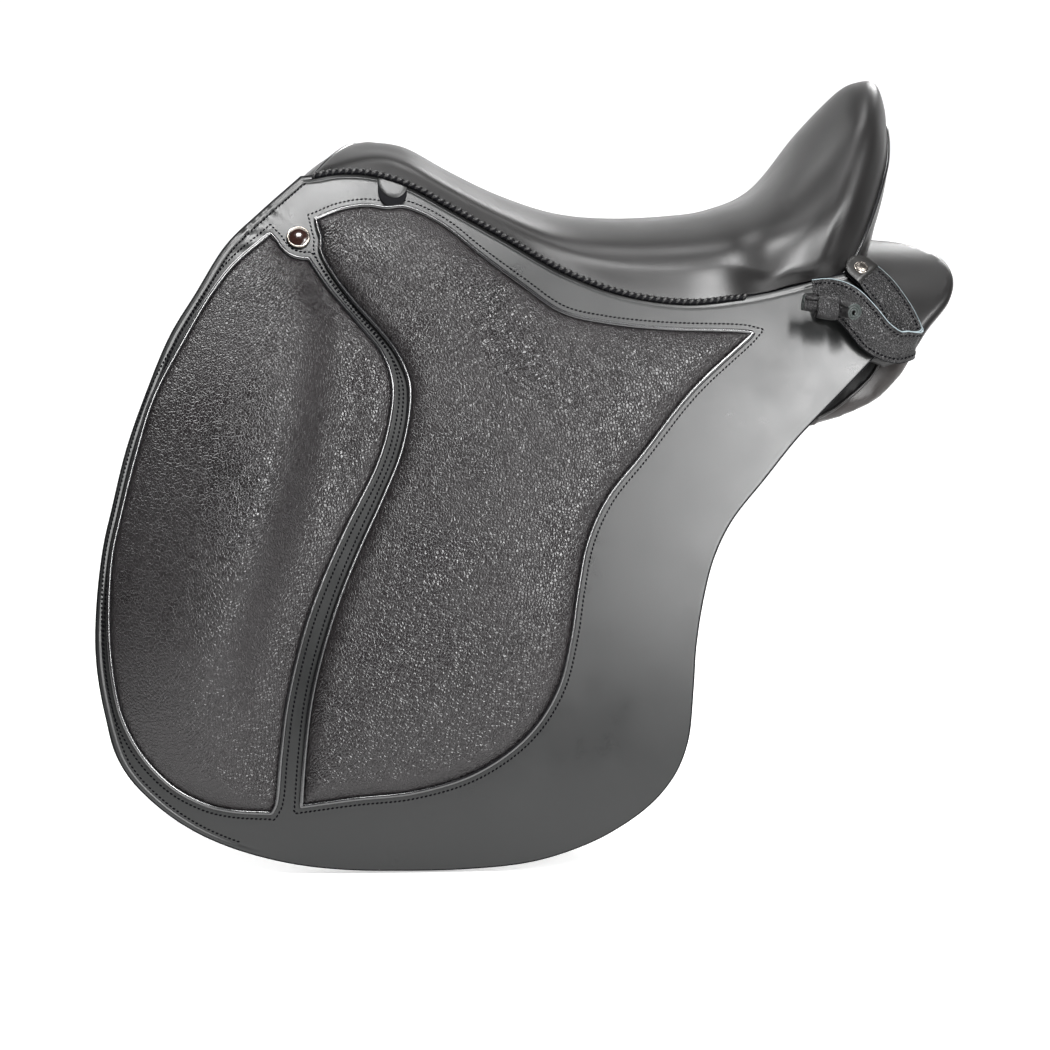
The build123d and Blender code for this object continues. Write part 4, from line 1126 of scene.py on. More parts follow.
def walled(grid, wall):
    """Closed skin from a grid of points, with its wall behind the face."""
    du, dv = np.gradient(grid, axis=0), np.gradient(grid, axis=1)
    normal = np.cross(du, dv)
    normal /= np.maximum(np.linalg.norm(normal, axis=2, keepdims=True), 1e-12)
    if normal[len(grid) // 2, grid.shape[1] // 2, 2] < 0:
        normal = -normal
    inner = grid - normal * wall
    r, c = grid.shape[:2]
    verts = np.vstack([grid.reshape(-1, 3), inner.reshape(-1, 3)])
    outer_faces = grid_faces(r, c)
    faces = outer_faces + [tuple(r * c + v for v in reversed(f)) for f in outer_faces]
    ring = [i for i in range(c)] + [i * c + c - 1 for i in range(1, r)]
    ring += [(r - 1) * c + i for i in range(c - 2, -1, -1)] + [i * c for i in range(r - 2, 0, -1)]
    for a, b in zip(ring, ring[1:] + ring[:1]):
        faces.append((a, b, r * c + b, r * c + a)[::-1])
    return verts, faces_out(verts, faces)


seat_grid = skin_grid(rows, 8, 14)
seat = new_piece("seat_leather", *walled(seat_grid, 0.003), smooth_leather)
place(seat, "root", "smooth_leather", ["seat_cover", "seat_foam"])
print("seat skin:", seat_grid.shape)

# %% [markdown]
# ## Pommel and cantle back
# The facing closes the arch at the pommel and leans back to the seat. Behind the cantle a
# second panel runs from the welt down to the root of the rear facing. Both are skins like
# the seat, and their first row of marks is the seat's own edge, so no gap opens there.

# %% Facing of the pommel
facing_rows = mm * np.array([
    seat_rows[0],
    [(-192, 88, 121.5), (-187, 72, 128.5), (-181, 52, 134.5), (-174, 27, 139), (-169, 0, 141)],
    [(-195, 86, 119.5), (-194, 71, 123), (-192, 51, 125.5), (-190, 26, 127), (-189, 0, 127.5)],
    [(-195.5, 82, 112), (-196, 68, 114.5), (-196, 50, 117), (-195.5, 26, 118.5), (-195, 0, 119)],
    [(-193, 74, 100), (-194, 62, 106), (-194, 46, 110), (-194, 24, 112.5), (-194, 0, 113.5)],
    [(-190, 71, 88), (-190, 59, 98), (-190, 43, 105), (-190, 23, 109.5), (-190, 0, 111)],
])
facing_grid = skin_grid(facing_rows, 6, 14)
facing = new_piece("pommel_leather", *walled(facing_grid[::-1], 0.002), smooth_leather)
place(facing, "root", "smooth_leather", ["pommel_facing"])
print("pommel facing:", facing_grid.shape)

# %% Back of the cantle
back_rows = mm * np.array([
    seat_rows[-1],
    [(228, 121, 43), (240, 109, 54), (257, 86, 82), (273, 50, 118), (279, 0, 140)],
    [(230, 118, 41), (241, 105, 50), (255, 82, 72), (268, 48, 97), (274, 0, 108)],
    [(231, 115, 38), (241, 101, 44), (252, 78, 60), (263, 46, 74), (267, 0, 78)],
    [(232, 112, 34), (240, 98, 38), (249, 76, 50), (258, 45, 60), (262, 0, 63)],
])
back_grid = skin_grid(back_rows, 6, 14)
back = new_piece("cantle_back_leather", *walled(back_grid, 0.002), smooth_leather)
place(back, "root", "smooth_leather", ["cantle_back"])
print("cantle back:", back_grid.shape)

# %% [markdown]
# Where two skins meet, the saddler sews a thin welt between them. It follows a row of the
# skin's own grid, so it needs no drawing and always lies on the seam.

# %% Welts of the seat


def grid_row(grid, row):
    """Path along a row of a skin and the directions that point off it."""
    path = grid[row]
    du, dv = np.gradient(grid, axis=0), np.gradient(grid, axis=1)
    normal = np.cross(du, dv)[row]
    normal /= np.maximum(np.linalg.norm(normal, axis=1, keepdims=True), 1e-12)
    middle = grid.reshape(-1, 3).mean(0)
    if np.dot(normal[len(normal) // 2], path[len(path) // 2] - middle) < 0:
        normal = -normal
    return path, normal


def welt_on(name, grid, row, out, radius):
    """A polished welt along a row of a skin."""
    path, normal = grid_row(grid, row)
    verts, faces = tube(path + normal * out, normal, radius, 8, False)
    piece = new_piece(name, verts, faces_out(verts, faces), trim_leather)
    place(piece, "root", "trim_leather")
    print(f"{name}: {len(faces)} faces")


welt_on("pommel_piping", seat_grid, 0, -0.0004, 0.0016)
welt_on("cantle_piping", seat_grid, -1, 0.0006, 0.0018)
welt_on("head_piping", facing_grid, 18, 0.0006, 0.0014)

# %% [markdown]
# ## Overcast seam
# The seat and the flap meet in a seam that is sewn over and over, so it looks like a fine
# rope. Twisted strands would be true to a rope, but this one is only overcast, and each turn
# is a separate bead. So it is a core with the stitch tree's beads laid steeply across it.

# %% Overcast the seat's seam
braid_front, braid_rear = -190, 176
seam_line = smooth_run(mm * np.array([(x, z) for x, z in seam_marks if braid_front < x < braid_rear]), 0.002)
seam_out, seam_sink, core_sink, core_radius = 0.0022, 0.0002, 0.0007, 0.0020
seam_path = laid(seam_line, np.full(len(seam_line), seam_out)) - np.array([0, 0, seam_sink])
seam_up = face_normal(seam_line[:, 1])
core = tube(seam_path - np.array([0, 0, core_sink]), seam_up, core_radius, 8, False)
pair("seam_core", (core[0], faces_out(*core)), edge_paint, "root", "trim_leather", ("seat_welt",))
rope_sizes = {
    "Pitch": 0.0052, "Length": 0.0074, "Width": 0.0030, "Height": 0.0054, "Slant": 0.72, "Uneven": 0.08,
}
rope = sewn_mesh([(seam_path, seam_up, False)], rope_sizes, rope_leather)
pair("seam_overcast", rope, rope_leather, "root", "trim_leather")

# %% [markdown]
# ## Keeper tab
# A short tongue of leather comes out under the seam at the head. Below it lies a dark half ring, a matt black
# sheet that is painted shadow in the slot under the tongue, and the tongue's face lies almost level with the
# flap. Both are small sheets on the flap's face, because a hole in the flap would show nothing more.

# %% Keeper tab
# The dark half ring is painted shadow: a matt black sheet where the slot under the tongue lies in shade.
slot_shadow_outer = [
    (-134.5, 118), (-134.2, 111), (-131.5, 105), (-126, 101), (-119.5, 101), (-114.5, 104.8), (-112.2, 110.5),
    (-111.8, 115),
]
slot_shadow_inner = [
    (-111.8, 115), (-114, 111.3), (-118, 108.6), (-122.5, 108), (-127, 109.3), (-131, 112.6), (-134.5, 118),
]
slot_shadow_loop = loop_of([mm * np.array(slot_shadow_outer), mm * np.array(slot_shadow_inner)], 0.0011)
slot_shadow = leather_sheet(slot_shadow_loop, 0.0018, 0.003, 0.0002, base=0.0018)
pair("keeper_crescent", slot_shadow, edge_paint, "root", "trim_leather", ("stirrup_tab",))
tongue_sides = [
    (-134.2, 127), (-134.2, 118), (-131, 112.6), (-127, 109.3), (-122.5, 108), (-118, 108.6), (-114, 111.3),
    (-111.9, 115), (-111.9, 120),
]
tongue_loop = loop_of([mm * np.array(tongue_sides), mm * np.array([(-111.9, 120), (-134.2, 127)])], 0.0011)
tongue = leather_sheet(tongue_loop, 0.0010, 0.003, 0.0004, base=0.0010)
pair("keeper_tongue", tongue, flap_leather, "root", "flap_leather")

# %% [markdown]
# ## Rear facing
# The thick lobe over the back of each panel is the one piece whose outline is drawn in plan,
# because it is cut to be seen from above. It lies on a roll of its own, so its sheet is
# bent by that cylinder's formula, in the same way as the flap's.

# %% Rear facing
lobe_radius, lobe_shift, lobe_drop = 0.158, 0.016, 0.080


def lobe_laid(points, out):
    """Places of flat points (x, y) on the left lobe's curved face."""
    x, y = points[:, 0], points[:, 1]
    up = np.sqrt((lobe_radius + out) ** 2 - (np.abs(y) + lobe_shift) ** 2) - lobe_drop
    return np.column_stack([x, y, up])


lobe_marks = [
    (256, -21), (280, -22), (302.5, -35), (320, -55), (326, -78), (320, -95), (300, -112), (283, -123.6),
    (262, -127), (239, -123.6),
]
lobe_root = [(239, -123.6), (240, -70), (240, -22)]
lobe_runs = [lobe_marks[:-1], lobe_marks[-2:], lobe_root, [lobe_root[-1], lobe_marks[0]]]
lobe_loop = loop_of([mm * np.array(run) for run in lobe_runs], edge_step)


def lobe_mesh(loop, wall, grid, rim):
    """Closed mesh of the lobe, with a rounded edge."""
    inner = moved_in(loop, rim)
    points, tris = filled([inner], grid)
    n = len(inner)
    verts, faces = [lobe_laid(points, 0.0)], [tuple(t) for t in tris]
    previous, total = 0, len(points)
    for inset, drop in round_edge(rim, wall):
        verts.append(lobe_laid(moved_in(loop, inset), drop))
        faces += rim_strip(n, previous, total)
        previous, total = total, total + n
    loose = points[n:]
    verts.append(lobe_laid(loose, -wall))
    index = {i: previous + i for i in range(n)}
    index.update({n + i: total + i for i in range(len(loose))})
    faces += [tuple(index[v] for v in reversed(t)) for t in tris]
    verts = np.vstack(verts)
    return verts, faces_out(verts, faces)


lobe_wall, lobe_grid, lobe_rim = 0.006, 0.004, 0.0024
lobe = lobe_mesh(lobe_loop, lobe_wall, lobe_grid, lobe_rim)
pair("rear_lobe", lobe, smooth_leather, "root", "smooth_leather", ("rear_facing",))

# %% [markdown]
# ## Panels
# The panels are stuffed with flock, and leather swells over it between its seams. A smooth
# modifier alone would only shrink them, so cloth simulation does it: the working model's
# solid is remeshed, pumped up a little as cloth, and kept from moving far. The same mesh
# then serves both sides.

# %% Stuff the panels


last_frame, voxel = 20, 0.0055


def stuffed(name, pressure, cap):
    """Vertices and faces of a padded copy of a solid, swollen by cloth pressure."""
    source = nodes[name]
    mesh = source.data.copy()
    cushion = bpy.data.objects.new(f"stuffing {name}", mesh)
    bpy.context.scene.collection.objects.link(cushion)
    remesh = cushion.modifiers.new("Remesh", "REMESH")
    remesh.mode = "VOXEL"
    remesh.voxel_size = voxel
    smooth = cushion.modifiers.new("Smooth", "SMOOTH")
    smooth.iterations = 12
    smooth.factor = 0.5
    bpy.context.view_layer.update()
    ready = bpy.data.meshes.new_from_object(cushion.evaluated_get(bpy.context.evaluated_depsgraph_get()))
    cushion.modifiers.clear()
    cushion.data = ready
    before = np.array([v.co for v in ready.vertices])
    cloth = cushion.modifiers.new("Cloth", "CLOTH")
    cloth.settings.use_pressure = True
    cloth.settings.uniform_pressure_force = pressure
    cloth.settings.effector_weights.gravity = 0
    cloth.settings.quality = 5
    cloth.settings.tension_stiffness = 25
    cloth.settings.bending_stiffness = 2
    cloth.point_cache.frame_start, cloth.point_cache.frame_end = 1, last_frame
    for step in range(1, last_frame + 1):
        bpy.context.scene.frame_set(step)
    done = bpy.data.meshes.new_from_object(cushion.evaluated_get(bpy.context.evaluated_depsgraph_get()))
    cushion.modifiers.clear()
    bpy.context.scene.frame_set(1)
    after = np.array([v.co for v in done.vertices])
    shift = after - before
    far = np.linalg.norm(shift, axis=1, keepdims=True)
    before = before + shift * np.minimum(1, cap / np.maximum(far, 1e-9))
    faces = [tuple(p.vertices) for p in ready.polygons]
    bpy.data.objects.remove(cushion)
    return before, faces


panel_verts, panel_faces = stuffed("left_panel", 4.0, 0.0025)
panel_mesh = (panel_verts, panel_faces)
pair("panel_cushion", panel_mesh, panel_leather, "root", "panel_leather", ("panel",))
leg_mesh = stuffed("left_leg_panel", 3.0, 0.0015)
pair("leg_cushion", leg_mesh, panel_leather, "root", "panel_leather", ("leg_panel",))

# %% [markdown]
# The panel's side wall is a darker gusset with a welt. A second colour on the panel's own
# mesh would follow its faces in steps, so the gusset is drawn flat like the flap, and each
# of its points is then pressed sideways on to the stuffed panel.

# %% Gusset and welt on the panel's rear
gusset_marks = [(208, -64), (222, -58), (234, -50), (246, -40), (256, -29), (263, -14)]
gusset_top = [(263, -14), (250, 0), (222, -25), (196, -54), (198, -64), (208, -64)]
panel_shape = BVHTree.FromPolygons([tuple(v) for v in panel_verts], panel_faces)


def pressed_on(points, out):
    """Places on the left panel's outer side of flat points (x, z), at a height off it."""
    depth = np.full(len(points), np.nan)
    for i, (x, z) in enumerate(points):
        hit = panel_shape.ray_cast(Vector((x, -0.30, z)), Vector((0, 1, 0)))[0]
        if hit is not None:
            depth[i] = hit.y
    found = np.flatnonzero(~np.isnan(depth))
    for i in np.flatnonzero(np.isnan(depth)):
        depth[i] = depth[found[np.argmin(np.linalg.norm(points[found] - points[i], axis=1))]]
    return np.column_stack([points[:, 0], depth - out, points[:, 1]])


gusset_loop = loop_of([mm * np.array(gusset_marks), mm * np.array(gusset_top)], 0.003)
gusset_points, gusset_tris = filled([gusset_loop], 0.004)
count, rim_count = len(gusset_points), len(gusset_loop)
gusset_out, gusset_sink, welt_out, welt_radius = 0.0016, 0.0030, 0.0020, 0.0014
verts = np.vstack([pressed_on(gusset_points, gusset_out), pressed_on(gusset_points, -gusset_sink)])
faces = [tuple(t) for t in gusset_tris] + [tuple(count + v for v in reversed(t)) for t in gusset_tris]
faces += rim_strip(rim_count, 0, count)
pair("panel_gusset", (verts, faces_out(verts, faces)), gusset_leather, "root", "panel_leather")
welt_line = smooth_run(mm * np.array(gusset_marks), 0.003)
welt_path = pressed_on(welt_line, welt_out)
welt = tube(welt_path, np.tile((0.0, -1.0, 0.0), (len(welt_path), 1)), welt_radius, 8, False)
pair("gusset_welt", (welt[0], faces_out(*welt)), strap_leather, "root", "trim_leather")

# %% [markdown]
# ## Sweat flap and girth straps
# Behind the flap hang the thin sweat flap and the two girth straps, punched with eight
# holes each. A Boolean could punch them, but it leaves ragged faces. The holes are part of
# the drawing instead, so the mesh is open where the leather is.

# %% Sweat flap
sweat_edge = [
    (-200, 56), (-243, 40), (-272, 4), (-302, -44), (-324, -92), (-342, -148), (-349.5, -212), (-347, -268),
    (-337, -313), (-314, -344), (-270, -370), (-200, -384.8), (-120, -388), (-30, -380), (25, -356),
    (55, -320), (66, -276), (73, -224), (86, -168), (107.5, -112), (115, -60),
]
sweat_top = [(115, -60), (90, -12), (60, -6), (20, -2), (-25, 12), (-65, 30), (-125, 52), (-200, 56)]
sweat_loop = loop_of([mm * np.array(sweat_edge), mm * np.array(sweat_top)], 0.004)
sweat_sheet = leather_sheet(sweat_loop, 0.003, 0.008, 0.0008, base=-0.013)
pair("sweat_leather", sweat_sheet, flap_leather, "root", "flap_leather", ("sweat_flap",))

# %% Girth straps
strap_low, strap_top, half_strap = -0.330, 0.016, 0.0125
first_hole, hole_pitch, hole_count = -0.28636, 0.025, 8
hole_radius, girth_wall, girth_rim, girth_base = 0.0025, 0.004, 0.0007, -0.007
around = np.linspace(0, 2 * math.pi, 20, endpoint=False)
for name, x in (("front", -0.045), ("rear", 0.035)):
    shoulder = strap_low + half_strap
    left, right, point = x - half_strap, x + half_strap, half_strap / 2
    corners = [
        (left, strap_top), (left, shoulder), (x - point, strap_low),
        (x + point, strap_low), (right, shoulder), (right, strap_top),
    ]
    sides = [np.array([a, b]) for a, b in zip(corners, corners[1:] + corners[:1])]
    holes = []
    for i in range(hole_count):
        z = first_hole + i * hole_pitch
        holes.append(np.column_stack([x + hole_radius * np.cos(around), z + hole_radius * np.sin(around)]))
    mesh = leather_sheet(loop_of(sides, 0.003), girth_wall, 0.006, girth_rim, base=girth_base, holes=holes)
    body = f"{name}_billet_body"
    pair(f"{name}_girth_strap", mesh, strap_leather, body, "strap_leather", (f"{name}_billet",))

# %% [markdown]
# ## Rear strap and toggle
# A short strap with a grained lining is held by a small stud and loops back to a rolled toggle. Bending a
# straight strap with modifiers gives one bend at a time, and this one turns and twists at once. So it is a
# ribbon along a route, whose width leans a little more or less at each mark. A mark holds shares of the
# strap's reach, of the flap's spread and of its drop, and then the turn and the lean of the width. The upper
# cut edges are painted pale, a painted highlight where the light catches them, and the lower ones are painted
# dark with edge paint, which here also stands for their shade.

# %% Route of the rear strap
strap_route = [
    (0.466, 0.5465, 0.150, 48, 0.95), (0.512, 0.5930, 0.100, 48, 0.80), (0.540, 0.6110, 0.050, 45, 0.45),
    (0.554, 0.6210, 0.014, 38, 0.10), (0.564, 0.6360, -0.002, 30, 0), (0.565, 0.6620, -0.008, 25, 0),
    (0.553, 0.6830, -0.015, 20, 0), (0.531, 0.6970, -0.016, 28, 0), (0.504, 0.7010, 0.006, 40, 0),
    (0.480, 0.6920, 0.042, 46, 0), (0.456, 0.6690, 0.072, 34, 0), (0.430, 0.6500, 0.084, 12, 0),
    (0.404, 0.6410, 0.082, -14, 0),
]
strap_reach, steps_a_mark = 0.5, 8
strap_places = [(x * strap_reach, -y * flap_spread, z * flap_drop) for x, y, z, _, _ in strap_route]
route = even_between(np.array(strap_places), steps_a_mark)
leans = even_between(np.array([(math.radians(t), s, 0.0) for _, _, _, t, s in strap_route]), steps_a_mark)
way = np.gradient(route, axis=0)
way /= np.linalg.norm(way, axis=1, keepdims=True)
width_way = np.column_stack([np.sin(leans[:, 0]), leans[:, 1] * np.cos(leans[:, 0]), np.cos(leans[:, 0])])
width_way -= way * (width_way * way).sum(1, keepdims=True)
width_way /= np.linalg.norm(width_way, axis=1, keepdims=True)
strap_out = np.cross(way, width_way)
along = np.concatenate([[0], np.cumsum(np.linalg.norm(np.diff(route, axis=0), axis=1))])
print("length of the rear strap, mm:", round(along[-1] / mm, 1))

# %% A ribbon along a route


def ribbon(route, width_way, out, half, low, high, rim, shares=None, low_shares=None):
    """Closed ribbon between two heights off a route, with rounded corners.

    Shares say how wide it is at each point, with the lower half's own shares if given."""
    section = [
        (-half + rim, high), (-half * 0.5, high), (0, high), (half * 0.5, high), (half - rim, high),
        (half, high - rim), (half, low + rim), (half - rim, low), (0, low), (-half + rim, low),
        (-half, low + rim), (-half, high - rim),
    ]
    wide = np.ones(len(route)) if shares is None else shares
    low_wide = wide if low_shares is None else low_shares
    rows = [
        route + width_way * (wide if w > 0 else low_wide)[:, None] * w + out * h
        for w, h in section
    ]
    verts = np.stack(rows, axis=1).reshape(-1, 3)
    n, k = len(route), len(section)
    faces = []
    for i in range(n - 1):
        for j in range(k):
            m = (j + 1) % k
            faces.append((i * k + j, i * k + m, (i + 1) * k + m, (i + 1) * k + j))
    faces.append(tuple(range(k - 1, -1, -1)))
    faces.append(tuple((n - 1) * k + j for j in range(k)))
    return verts, faces_out(verts, faces)


strap_half, layer = 0.0118, 0.0014
tip_share = np.sqrt(np.clip(1 - (1 - np.clip(along / strap_half, 0, 1)) ** 2, 0.03, 1))
fold_at = along[int(np.argmax(route[:, 0]))]
near_fold = np.exp(-(((along - fold_at) / 0.008) ** 2))
high_share = tip_share * (1 - 0.24 * near_fold)
far_band = soft_step(along, 0.018, 0.030) * (1 - soft_step(along, fold_at - 0.014, fold_at))
near_band = soft_step(along, fold_at + 0.010, fold_at + 0.045)
low_share = tip_share * (1 + 0.25 * far_band + 0.45 * near_band)
print("the strap folds back after, mm:", round(fold_at / mm, 1))

# %% Both layers of the strap and their edges
for name, low, high in (("skin", 0.0001, layer), ("lining", -layer, -0.0001)):
    mesh = ribbon(route, width_way, strap_out, strap_half, low, high, 0.0004, high_share, low_share)
    under = ("rear_strap",) if name == "skin" else ()
    pair(f"rear_strap_{name}", mesh, lining_leather, "strap_body", "strap_leather", under)
edge_half, edge_rim = 0.00035, 0.0002
edge_ways = {1: width_way * high_share[:, None] * strap_half, -1: width_way * low_share[:, None] * strap_half}
# Upper edges get the pale grey, a painted highlight; lower edges get dark edge paint, which also stands for
# their shade.
for k, (low, high) in enumerate(((0.0003, layer), (-layer, -0.0003))):
    for sign, finish, name in ((1, highlit_cut_edge, "pale"), (-1, edge_paint, "dark")):
        edge = ribbon(route, width_way, strap_out, edge_half, low, high, edge_rim)
        shifted = edge[0] + np.repeat(edge_ways[sign] * sign, len(edge[0]) // len(route), axis=0)
        pair(f"strap_{name}_edge_{k}", (shifted, edge[1]), finish, "strap_body", "strap_leather")

# %% [markdown]
# The tip under the stud is lined with smooth leather on both faces, and a row of thread runs
# along each edge. Both follow the ribbon's own route, so they bend with it.

# %% Tip and stitches of the strap
tip_length = 0.0235
tip_end = int(np.searchsorted(along, tip_length))
lapped = slice(0, tip_end)
for name, sign in (("near", 1), ("far", -1)):
    low, high = sorted((sign * (layer - 0.0002), sign * (layer + 0.0007)))
    mesh = ribbon(route[lapped], width_way[lapped], strap_out[lapped], strap_half + 0.0003, low, high, 0.0003,
                  high_share[lapped], low_share[lapped])
    pair(f"strap_tip_{name}", mesh, strap_leather, "strap_body", "strap_leather")
rows_of_thread = []
for sign in (-1, 1):
    for face_sign in (-1, 1):
        line = route + (edge_ways[sign] - width_way * 0.0032) * sign + strap_out * face_sign * 0.0015
        rows_of_thread.append((line[tip_end:-2], strap_out[tip_end:-2] * face_sign, False))
pair("strap_stitches", sewn_mesh(rows_of_thread, row_sizes, thread), thread, "strap_body", "trim_leather")

# %% [markdown]
# The toggle is a strip of leather rolled up tight, so its end shows a spiral. A plain
# cylinder with a spiral painted on it would stay flat there, so the spiral is the outline
# that is swept along the roll. The roll bends outwards, and a loop goes round its middle.

# %% Rolled toggle


def spiral(outside, thickness, turns):
    """Closed outline of a rolled strip, as flat points, seen from its end."""
    turn = np.linspace(0, 2 * math.pi * turns, int(turns * 20))
    lap = thickness * 1.14
    out_radius = outside - lap * turn / (2 * math.pi)
    in_radius = np.maximum(out_radius - thickness, 0.0004)
    heading = np.column_stack([np.cos(turn + 0.6), np.sin(turn + 0.6)])
    return np.vstack([heading * out_radius[:, None], (heading * in_radius[:, None])[::-1]])


def rolled(path, across, up, outline):
    """Closed roll: the outline swept along a path."""
    verts = np.stack([path + across * a + up * b for a, b in outline], axis=1).reshape(-1, 3)
    n, k = len(path), len(outline)
    faces = [
        (i * k + j, i * k + (j + 1) % k, (i + 1) * k + (j + 1) % k, (i + 1) * k + j)
        for i in range(n - 1)
        for j in range(k)
    ]
    faces += [tuple(range(k - 1, -1, -1)), tuple((n - 1) * k + j for j in range(k))]
    return verts, faces_out(verts, faces)


toggle_low, toggle_high = (np.array(corner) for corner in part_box("left_toggle"))
toggle_middle = (toggle_low + toggle_high) / 2
roll_slack, strip_wall, strip_turns, loop_half_width = 0.0012, 0.0016, 2.6, 0.0085
toggle_radius = (toggle_high[2] - toggle_low[2]) / 2 + roll_slack
toggle_long = toggle_high[0] - toggle_low[0]
roll_steps = 30
steps = np.linspace(0, toggle_long, roll_steps)
heading = np.radians(-2 + 72 * soft_step(steps, toggle_long * 0.45, toggle_long * 0.95))
dip = math.radians(9)
flat = math.cos(dip)
fall = np.full(roll_steps, -math.sin(dip))
roll_way = np.column_stack([np.cos(heading) * flat, -np.sin(heading) * flat, fall])
roll_path = np.cumsum(roll_way * (steps[1] - steps[0]), axis=0)
roll_start = np.array([toggle_low[0] + 0.002, toggle_middle[1] - 0.009, toggle_middle[2] + 0.001])
roll_path += roll_start - roll_path[0]
roll_across = np.cross(roll_way, (0.0, 0.0, 1.0))
roll_across /= np.linalg.norm(roll_across, axis=1, keepdims=True)
roll_up = np.cross(roll_across, roll_way)
roll = rolled(roll_path, roll_across, roll_up, spiral(toggle_radius, strip_wall, strip_turns))
ends_of_roll = (len(roll[1]) - 2, len(roll[1]))
pair("rolled_toggle", (*roll, ends_of_roll), lining_leather, "strap_body", "trim_leather", ("toggle",),
     edge_finish=roll_edge)

# %% Loop round the toggle, and the strap's stud
mid = 12
angles = np.linspace(0, 2 * math.pi, 36, endpoint=False)
bulge = toggle_radius + 0.0010 + 0.0016 * np.maximum(0, np.cos(angles - math.radians(-50))) ** 2
spokes = roll_across[mid] * np.cos(angles)[:, None] + roll_up[mid] * np.sin(angles)[:, None]
loop_path = roll_path[mid] + spokes * bulge[:, None]
loop_band = tube(loop_path, spokes, loop_half_width, 12, True, flatten=0.12)
pair("toggle_loop", (loop_band[0], faces_out(*loop_band)), lining_leather, "strap_body", "strap_leather")

rivet_sink = 0.0035
rivet_step = int(np.searchsorted(along, strap_half))
rivet_way = strap_out[rivet_step] * (-1 if strap_out[rivet_step][1] > 0 else 1)
rivet_foot = route[rivet_step] - rivet_way * rivet_sink
rivet_profile = mm * np.array([
    (2.0, 0.1), (2.0, 4.9), (5.6, 5.0), (5.8, 5.6), (5.4, 6.3), (4.7, 6.5), (4.3, 6.3), (3.9, 6.35),
    (2.4, 6.8), (0.5, 7.0),
])
verts, faces = turned_on(rivet_foot, rivet_way, rivet_profile, 32)
pair("strap_stud", (verts, faces_out(verts, faces)), stud_metal, "root", "badge_metal", ("strap_rivet",))

# %% [markdown]
# ## Studio
# A pale sweep stands under and behind the saddle. Black leather shows its shape by its
# sheen, so the lamps are soft areas placed where the leather mirrors them to the camera: a
# tall narrow one for the flap, and small ones for the head, the seat and the cantle. One
# large lamp would light it evenly, but it would look flat.

# %% Sweep


def studio_white(name, shade, glow):
    """Matt white that the camera sees a little brighter than its light makes it."""
    material = bpy.data.materials.new(name)
    material.use_nodes = True
    tree = material.node_tree
    shader = tree.nodes["Principled BSDF"]
    shader.inputs["Base Color"].default_value = (shade, shade, shade, 1)
    shader.inputs["Roughness"].default_value = 1.0
    shader.inputs["Specular IOR Level"].default_value = 0.0
    shader.inputs["Emission Color"].default_value = (1, 1, 1, 1)
    rays = tree.nodes.new("ShaderNodeLightPath")
    seen = reckon(tree, "MAXIMUM", rays.outputs["Is Camera Ray"], rays.outputs["Is Glossy Ray"])
    seen = reckon(tree, "MAXIMUM", seen, rays.outputs["Is Transmission Ray"])
    wire(tree, reckon(tree, "MULTIPLY", seen, glow), shader.inputs["Emission Strength"])
    return material


floor_z, sweep_front, sweep_back, sweep_bend, sweep_top, sweep_half = -0.4022, -6.0, 2.2, 1.2, 5.0, 8
bend_steps = 12
sweep_profile = [(sweep_front, floor_z), (sweep_back, floor_z)]
for k in range(1, bend_steps + 1):
    a = math.pi / 2 * k / bend_steps
    height = floor_z + sweep_bend - math.cos(a) * sweep_bend
    sweep_profile.append((sweep_back + math.sin(a) * sweep_bend, height))
sweep_profile.append((sweep_back + sweep_bend, sweep_top))
verts = [(x, y, z) for y, z in sweep_profile for x in (-sweep_half, sweep_half)]
faces = [(2 * i, 2 * i + 1, 2 * i + 3, 2 * i + 2) for i in range(len(sweep_profile) - 1)]
sweep = new_piece("sweep", verts, faces, studio_white("sweep white", 0.85, 0.50))
print("faces of the sweep:", len(faces))

# %% Lamps and sky


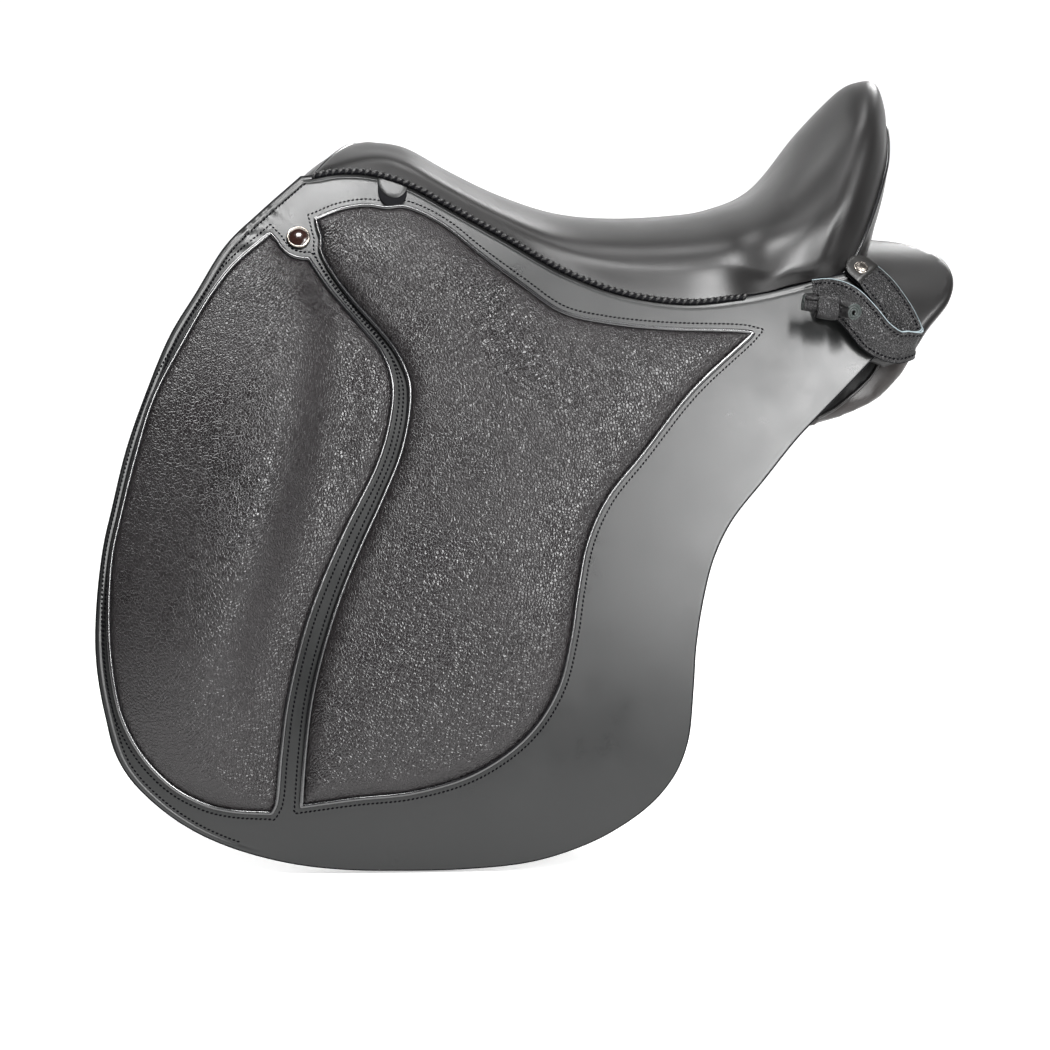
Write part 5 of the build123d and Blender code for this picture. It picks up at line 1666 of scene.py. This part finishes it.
def lamp(name, place, target, power, width, height, lean=0.0):
    """A soft area lamp that looks at a target, turned about its own axis by lean."""
    light = bpy.data.lights.new(name, "AREA")
    light.shape = "RECTANGLE"
    light.size, light.size_y = width, height
    light.energy = power
    source = bpy.data.objects.new(name, light)
    source.location = place
    facing_way = (Vector(target) - Vector(place)).to_track_quat("-Z", "Y")
    source.rotation_euler = (facing_way @ Quaternion((0, 0, 1), math.radians(lean))).to_euler()
    bpy.context.scene.collection.objects.link(source)


lamp("tall window", (0.66, -2.0, 0.88), (0.10, -0.2, -0.05), 66, 0.25, 1.7, lean=-8)
lamp("head light", (-0.16, -1.08, 1.74), (-0.16, -0.1, 0.12), 20, 0.40, 0.35)
lamp("left light", (-1.0, 0.30, 1.45), (0.2, 0, 0.12), 26, 0.8, 0.8)
lamp("side light", (1.5, -1.4, 1.4), (0.2, 0, 0.1), 22, 0.5, 0.5)
lamp("roof light", (0.25, 0.15, 2.1), (0.1, 0, 0.1), 7, 0.6, 0.6)
lamp("back light", (1.2, 1.9, 1.6), (0.1, 0, 0), 26, 0.9, 0.9)

world = bpy.data.worlds.new("studio")
bpy.context.scene.world = world
world.use_nodes = True
soft_sky = world.node_tree.nodes["Background"]
soft_sky.inputs["Color"].default_value = (1, 1, 1, 1)
soft_sky.inputs["Strength"].default_value = 0.10
print("lamps:", len(bpy.data.lights))

# %% [markdown]
# The photograph was taken almost square to the near side, from a little in front and above,
# with a long lens. The camera stands in that place, and the plain view transform keeps the
# finishes at the values that they are given.

# %% Camera
camera_place, lens = (-0.1938, -2.5953, 0.1127), 108.7
camera_data = bpy.data.cameras.new("photo camera")
camera = bpy.data.objects.new("photo camera", camera_data)
bpy.context.scene.collection.objects.link(camera)
azimuth, elevation = math.radians(-4), math.radians(6)
level_reach = math.cos(elevation)
back_way = Vector((math.sin(azimuth) * level_reach, -math.cos(azimuth) * level_reach, math.sin(elevation)))
camera.location = camera_place
camera.rotation_euler = back_way.to_track_quat("Z", "Y").to_euler()
camera_data.sensor_width = 36
camera_data.lens = lens
bpy.context.scene.camera = camera
bpy.context.scene.view_settings.view_transform = "Standard"
print("camera lens, mm:", round(camera_data.lens, 1))
